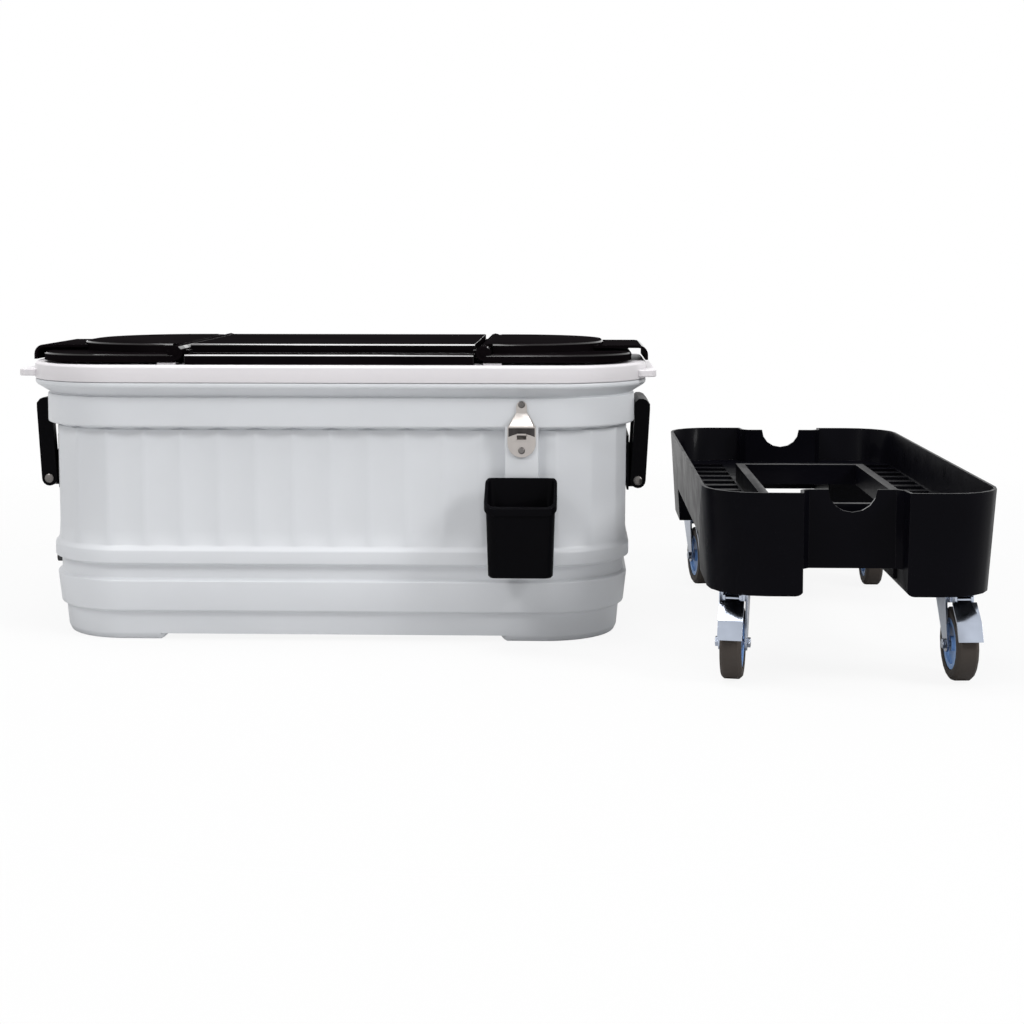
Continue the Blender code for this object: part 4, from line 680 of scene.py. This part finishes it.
@dataclass(frozen=True)
class RimFrame:
    """Rim frame, with a tab at each end and a pad under each knuckle of the lid."""

    top: float = 0.4
    skirt_low: float = 0.3752
    inner_low: float = 0.388
    width: float = 0.0558
    thickness: float = 0.0035
    shoulder: float = 0.0032
    rounding: float = 0.0014
    stations: int = 360
    tab_reach: float = 0.0126
    tab_root: float = 0.020
    tab_width: float = 0.270
    tab_thickness: float = 0.010
    tab_middle: float = 0.384
    tab_corner: float = 0.012
    tab_corner_steps: int = 8
    tab_edge: float = 0.0016
    pad_from: float = HINGE_X
    pad_to: float = 0.2445
    pad_near: float = 0.180
    pad_far: float = 0.206
    pad_sunk: float = 0.0015
    pad_rise: float = 0.0030
    pad_edge: float = 0.0008

    def ring(self) -> None:
        """The frame itself, a channel over the joint of wall and tub."""
        top, inside = self.top, self.width - self.thickness
        section = [(0.0, self.skirt_low), (0.0, top - self.shoulder), (self.shoulder, top), (self.width, top),
                   (self.width, self.inner_low), (inside, self.inner_low), (inside, top - self.thickness),
                   (self.thickness, top - self.thickness), (self.thickness, self.skirt_low)]
        form = swept(OUTLINE.track(self.stations), filleted(section, self.rounding, closed=True), ring=True)
        finished("rim_frame", form, RIM, ROOT, ["top_frame"], MOULDED_SHARP)

    def tab(self, side: Side) -> None:
        """Tab that stands out of the rim at one end.

        Args:
            side: the end.
        """
        reach, root = OUTLINE.half_x + self.tab_reach, OUTLINE.half_x - self.tab_root
        inner, outer = sorted((side.value * reach, side.value * root))
        bm = bmesh.new()
        bmesh.ops.create_cube(bm, size=1.0)
        bmesh.ops.scale(bm, vec=(outer - inner, self.tab_width, self.tab_thickness), verts=bm.verts[:])
        place = COOLER + Vector(((inner + outer) / 2, 0.0, self.tab_middle))
        bmesh.ops.translate(bm, vec=place, verts=bm.verts[:])
        upright = [edge for edge in bm.edges
                   if abs(edge.verts[0].co.z - edge.verts[1].co.z) > self.tab_thickness / 2]
        bmesh.ops.bevel(bm, geom=upright, offset=self.tab_corner, offset_type="OFFSET",
                        segments=self.tab_corner_steps, profile=0.5, affect="EDGES", material=-1)
        finished(f"rim_tab_{side.word}", bm, RIM, ROOT, bevel=self.tab_edge)

    def pad(self, side: Side, depth: Depth) -> None:
        """Pad under one knuckle.

        Args:
            side: the leaf that the knuckle belongs to.
            depth: the knuckle at the front or at the back.
        """
        across = sorted((side.value * self.pad_from, side.value * self.pad_to))
        along = sorted((depth.value * self.pad_near, depth.value * self.pad_far))
        low = COOLER + Vector((across[0], along[0], self.top - self.pad_sunk))
        high = COOLER + Vector((across[1], along[1], self.top + self.pad_rise))
        finished(f"knuckle_pad_{side.word}_{depth.word}", block(low, high, self.pad_edge), RIM, ROOT)

    def build(self) -> None:
        """Make and dress the frame, its tabs and its pads."""
        self.ring()
        for side in Side:
            self.tab(side)
            for depth in Depth:
                self.pad(side, depth)


@dataclass(frozen=True)
class TubAndDrain:
    """Tub, insulation and drain."""

    tub_edge: float = 0.0012
    spout_edge: float = 0.0005
    plug_edge: float = 0.0008

    def build(self) -> None:
        """Dress the tub, the foam and the drain's pieces."""
        softened("inner_liner", TUB, self.tub_edge)
        carried(["foam_core"], FOAM)
        softened("drain_spout", SPOUT, self.spout_edge)
        softened("drain_plug", SPOUT, self.plug_edge)
        carried(["drain_nut"], SPOUT)


# Lid

@dataclass(frozen=True)
class Lid:
    """Middle section, two leaves with lip grips, and their pins."""

    hinge_z: float = 0.4165
    edge: float = 0.0012
    edge_steps: int = 4
    head_radius: float = 0.0044
    head_y: float = 0.2075
    head_sunk: float = 0.0005
    head_rise: float = 0.0010
    head_crown: float = 0.0013
    head_rounding: float = 0.0005
    head_steps: int = 24

    def pin_head(self, side: Side, depth: Depth) -> None:
        """Round head on one end of a hinge pin.

        Args:
            side: the leaf that the pin carries.
            depth: the end of the pin, at the front or at the back.
        """
        corners = [(0.0, -self.head_sunk), (self.head_radius, -self.head_sunk),
                   (self.head_radius, self.head_rise), (0.0, self.head_crown)]
        spot = COOLER + Vector((side.value * HINGE_X, depth.value * self.head_y, self.hinge_z))
        place = Matrix.Translation(spot) @ Matrix.Rotation(math.pi / 2 * -depth.value, 4, "X")
        form = turned(filleted(corners, self.head_rounding), place, self.head_steps)
        finished(f"pin_head_{side.word}_{depth.word}", form, SMOKED, ROOT)

    def build(self) -> None:
        """Make and dress every piece of the lid."""
        # The middle section's rounded and up-tilted faces take a painted highlight; the leaves take a softer
        # one.
        softened("lid_center", SMOKED, self.edge, segments=self.edge_steps, edge=SMOKED_PAINTED_HIGHLIGHT)
        for side in Side:
            softened(f"lid_leaf_{side.word}", SMOKED, self.edge, segments=self.edge_steps,
                     edge=SMOKED_SOFT_PAINTED_HIGHLIGHT)
        carried(["hinge_pin_left", "hinge_pin_right"], STEEL)
        for side in Side:
            for depth in Depth:
                self.pin_head(side, depth)


# Fixtures on the front wall

@dataclass(frozen=True)
class Fixtures:
    """Bottle opener and cap catcher with their fasteners."""

    plate_front: float = -0.1802
    mouth_half: float = 0.0186
    mouth_top: float = 0.3112
    mouth_low: float = 0.2985
    mouth_arch: float = 0.0050
    mouth_depth: float = 0.0004
    mouth_steps: int = 16
    mouth_edge: float = 0.00015
    opener_edge: float = 0.0006
    catcher_edge: float = 0.0010
    bracket_edge: float = 0.0004
    screw_edge: float = 0.0003
    screws: tuple[str, ...] = ("opener_screw_top", "opener_screw_bottom", "catcher_screw_left",
                               "catcher_screw_right")

    def mouth(self) -> None:
        """Thin dark sheet that paints the shade of the hollow under the opener's hood, with its lower edge
        drawn up over the tongue.
        """
        half, steps = self.mouth_half, self.mouth_steps
        corners = [(-half, self.mouth_top), (half, self.mouth_top), (half, self.mouth_low)]
        corners += [(half * (1 - 2 * step / steps),
                     self.mouth_low + self.mouth_arch * math.sin(math.pi * step / steps))
                    for step in range(1, steps + 1)]
        middle_x = COOLER.x + FIXTURES_X
        bm = bmesh.new()
        face = bm.faces.new([bm.verts.new((middle_x + x, self.plate_front, z)) for x, z in corners])
        grown = bmesh.ops.extrude_face_region(bm, geom=[face])["geom"]
        front = [item for item in grown if isinstance(item, bmesh.types.BMVert)]
        bmesh.ops.translate(bm, vec=(0.0, -self.mouth_depth, 0.0), verts=front)
        bmesh.ops.recalc_face_normals(bm, faces=bm.faces[:])
        finished("opener_mouth_lining", bm, MOUTH_PAINTED_SHADE, ROOT, bevel=self.mouth_edge)

    def build(self) -> None:
        """Make and dress every piece on the front wall."""
        softened("bottle_opener", STEEL, self.opener_edge, segments=3)
        # A dark sheet under the hood paints the shade of its hollow.
        self.mouth()
        softened("cap_catcher", BLACK, self.catcher_edge, segments=3)
        softened("catcher_bracket", BLACK, self.bracket_edge)
        for screw in self.screws:
            softened(screw, SCREW, self.screw_edge)


# Handles

@dataclass(frozen=True)
class Handles:
    """Swing handles with their wall brackets and pivot screws."""

    handle_edge: float = 0.0018
    bracket_edge: float = 0.0007
    screw_edge: float = 0.0004

    def build(self) -> None:
        """Make and dress every piece of both handles."""
        for side in Side:
            softened(f"handle_{side.word}", BLACK, self.handle_edge, segments=3)
            softened(f"handle_bracket_{side.word}", BLACK, self.bracket_edge)
            for depth in Depth:
                softened(f"pivot_screw_{side.word}_{depth.word}", SCREW, self.screw_edge)


# Wheeled base

@dataclass(frozen=True)
class WheeledBase:
    """Tray and its four casters."""

    tray_edge: float = 0.0012
    head_edge: float = 0.0006
    fork_edge: float = 0.0005
    pedal_edge: float = 0.0006
    bolt_edge: float = 0.0005
    hub_edge: float = 0.0006
    tyre_edge: float = 0.0012

    def caster(self, corner: str) -> None:
        """Dress the pieces of one caster.

        Args:
            corner: the corner's words in its nodes' names.
        """
        softened(f"caster_{corner}_head", ZINC, self.head_edge)
        softened(f"caster_{corner}_fork", ZINC, self.fork_edge)
        softened(f"caster_{corner}_pedal", ZINC, self.pedal_edge)
        softened(f"caster_{corner}_axle_bolt", ZINC, self.bolt_edge)
        softened(f"caster_{corner}_hub", HUB, self.hub_edge)
        softened(f"caster_{corner}_tyre", TREAD, self.tyre_edge, segments=3)
        carried([f"caster_{corner}_stem_nut"], ZINC)

    def build(self) -> None:
        """Dress the tray and the casters."""
        # The tray's rounded and up-tilted faces take a painted highlight.
        softened("base_tray", TRAY, self.tray_edge, segments=3, edge=TRAY_PAINTED_HIGHLIGHT)
        for depth in Depth:
            for side in Side:
                self.caster(f"{depth.word}_{side.word}")


# Studio

@dataclass(frozen=True)
class Lamp:
    """Flat lamp that faces the object."""

    name: str
    place: Point
    power: float
    width: float
    depth: float
    aim: Point = (0.0, 0.0, 0.2)

    def build(self) -> None:
        """Hang the lamp in its place, turned to its aim."""
        data = bpy.data.lights.new(self.name, "AREA")
        data.shape = "RECTANGLE"
        data.energy = self.power
        data.size = self.width
        data.size_y = self.depth
        lamp = bpy.data.objects.new(self.name, data)
        lamp.location = self.place
        lamp.rotation_mode = "QUATERNION"
        lamp.rotation_quaternion = (Vector(self.aim) - Vector(self.place)).to_track_quat("-Z", "Y")
        bpy.context.scene.collection.objects.link(lamp)


@dataclass(frozen=True)
class PaleFloor:
    """Floor that keeps the shadow, looks white to the camera and fades out around the object."""

    radius: float = 2.6
    steps: int = 96
    drop: float = 0.0003
    grey: float = 0.62
    roughness: float = 0.9
    paleness: float = 0.90
    fade_from: float = 0.9
    fade_to: float = 2.2

    def lit(self, tree: bpy.types.NodeTree) -> bpy.types.Node:
        """Matt grey with the camera's share of white mixed in.

        Args:
            tree: node tree of the material.

        Returns:
            The node that mixes the two.
        """
        shader = tree.nodes["Principled BSDF"]
        shader.inputs["Base Color"].default_value = (self.grey, self.grey, self.grey, 1.0)
        shader.inputs["Roughness"].default_value = self.roughness
        white = tree.nodes.new("ShaderNodeEmission")
        seen = tree.nodes.new("ShaderNodeLightPath")
        share = tree.nodes.new("ShaderNodeMath")
        share.operation = "MULTIPLY"
        share.inputs[1].default_value = self.paleness
        mixed = tree.nodes.new("ShaderNodeMixShader")
        tree.links.new(seen.outputs["Is Camera Ray"], share.inputs[0])
        tree.links.new(share.outputs["Value"], mixed.inputs["Fac"])
        tree.links.new(shader.outputs["BSDF"], mixed.inputs[1])
        tree.links.new(white.outputs["Emission"], mixed.inputs[2])
        return mixed

    def material(self) -> bpy.types.Material:
        """The floor's surface, clear beyond its fade.

        Returns:
            The material.
        """
        surface = bpy.data.materials.new("pale_floor")
        surface.use_nodes = True
        tree = surface.node_tree
        lit = self.lit(tree)
        place = tree.nodes.new("ShaderNodeTexCoord")
        distance = tree.nodes.new("ShaderNodeVectorMath")
        distance.operation = "LENGTH"
        fade = tree.nodes.new("ShaderNodeMapRange")
        fade.inputs["From Min"].default_value = self.fade_from
        fade.inputs["From Max"].default_value = self.fade_to
        clear = tree.nodes.new("ShaderNodeBsdfTransparent")
        mixed = tree.nodes.new("ShaderNodeMixShader")
        tree.links.new(place.outputs["Object"], distance.inputs[0])
        tree.links.new(distance.outputs["Value"], fade.inputs["Value"])
        tree.links.new(fade.outputs["Result"], mixed.inputs["Fac"])
        tree.links.new(lit.outputs["Shader"], mixed.inputs[1])
        tree.links.new(clear.outputs["BSDF"], mixed.inputs[2])
        tree.links.new(mixed.outputs["Shader"], tree.nodes["Material Output"].inputs["Surface"])
        return surface

    def build(self) -> None:
        """Lay the floor just below the feet and the wheels."""
        bm = bmesh.new()
        bmesh.ops.create_circle(bm, cap_ends=True, radius=self.radius, segments=self.steps)
        mesh = bpy.data.meshes.new("floor")
        bm.to_mesh(mesh)
        bm.free()
        mesh.materials.append(self.material())
        floor = bpy.data.objects.new("floor", mesh)
        floor.location = (0.0, 0.0, -self.drop)
        bpy.context.scene.collection.objects.link(floor)


@dataclass(frozen=True)
class Studio:
    """Camera, floor, white surroundings and lamps."""

    camera_place: Point = (0.126, -2.636, 0.552)
    focal_pixels: float = 1750.0
    horizon_row: float = 257.0
    yaw_sine: float = 0.0332
    pitch: float = 3.9
    frame_pixels: float = 1024.0
    sensor: float = 36.0
    ambient: float = 0.50
    lamps: tuple[Lamp, ...] = (Lamp("key_lamp", (-1.7, -2.0, 2.5), 33.0, 0.9, 0.9),
                               Lamp("fill_lamp", (2.4, -1.6, 2.0), 46.0, 0.9, 0.9),
                               Lamp("top_lamp", (-0.3, -0.4, 2.8), 49.5, 2.4, 0.7))

    def camera(self) -> None:
        """Camera at the photograph's place, pitched a little and shifted for the rest of its framing."""
        data = bpy.data.cameras.new("camera")
        data.sensor_width = self.sensor
        data.lens = self.focal_pixels / self.frame_pixels * self.sensor
        centre_row = self.horizon_row + self.focal_pixels * math.tan(math.radians(self.pitch))
        data.shift_y = -(self.frame_pixels / 2 - centre_row) / self.frame_pixels
        camera = bpy.data.objects.new("camera", data)
        yaw = math.asin(self.yaw_sine)
        camera.matrix_world = (Matrix.Translation(self.camera_place) @ Matrix.Rotation(yaw, 4, "Z")
                               @ Matrix.Rotation(math.pi / 2 - math.radians(self.pitch), 4, "X"))
        bpy.context.scene.collection.objects.link(camera)
        bpy.context.scene.camera = camera

    def surroundings(self) -> None:
        """White to the camera and in reflections, and a plain level on matt surfaces."""
        world = bpy.data.worlds.new("studio")
        world.use_nodes = True
        tree = world.node_tree
        backdrop = tree.nodes["Background"]
        backdrop.inputs["Color"].default_value = (1.0, 1.0, 1.0, 1.0)
        path = tree.nodes.new("ShaderNodeLightPath")
        seen = tree.nodes.new("ShaderNodeMath")
        seen.operation = "MAXIMUM"
        through = tree.nodes.new("ShaderNodeMath")
        through.operation = "MAXIMUM"
        level = tree.nodes.new("ShaderNodeMapRange")
        level.inputs["To Min"].default_value = self.ambient
        level.inputs["To Max"].default_value = 1.0
        tree.links.new(path.outputs["Is Camera Ray"], seen.inputs[0])
        tree.links.new(path.outputs["Is Glossy Ray"], seen.inputs[1])
        tree.links.new(seen.outputs["Value"], through.inputs[0])
        tree.links.new(path.outputs["Is Transmission Ray"], through.inputs[1])
        tree.links.new(through.outputs["Value"], level.inputs["Value"])
        tree.links.new(level.outputs["Result"], backdrop.inputs["Strength"])
        bpy.context.scene.world = world

    def build(self) -> None:
        """Set up the camera, the floor, the surroundings and the lamps."""
        self.camera()
        PaleFloor().build()
        self.surroundings()
        for lamp in self.lamps:
            lamp.build()
        bpy.context.scene.view_settings.view_transform = "Standard"


def main() -> None:
    """Build and dress the cooler and its base, and set up the studio."""
    logging.basicConfig(level=logging.INFO, format="%(message)s")
    for part in (OuterWall(), RimFrame(), TubAndDrain(), Lid(), Fixtures(), Handles(), WheeledBase()):
        LOG.info("building %s", type(part).__name__)
        part.build()
    Studio().build()


if __name__ == "__main__":
    main()
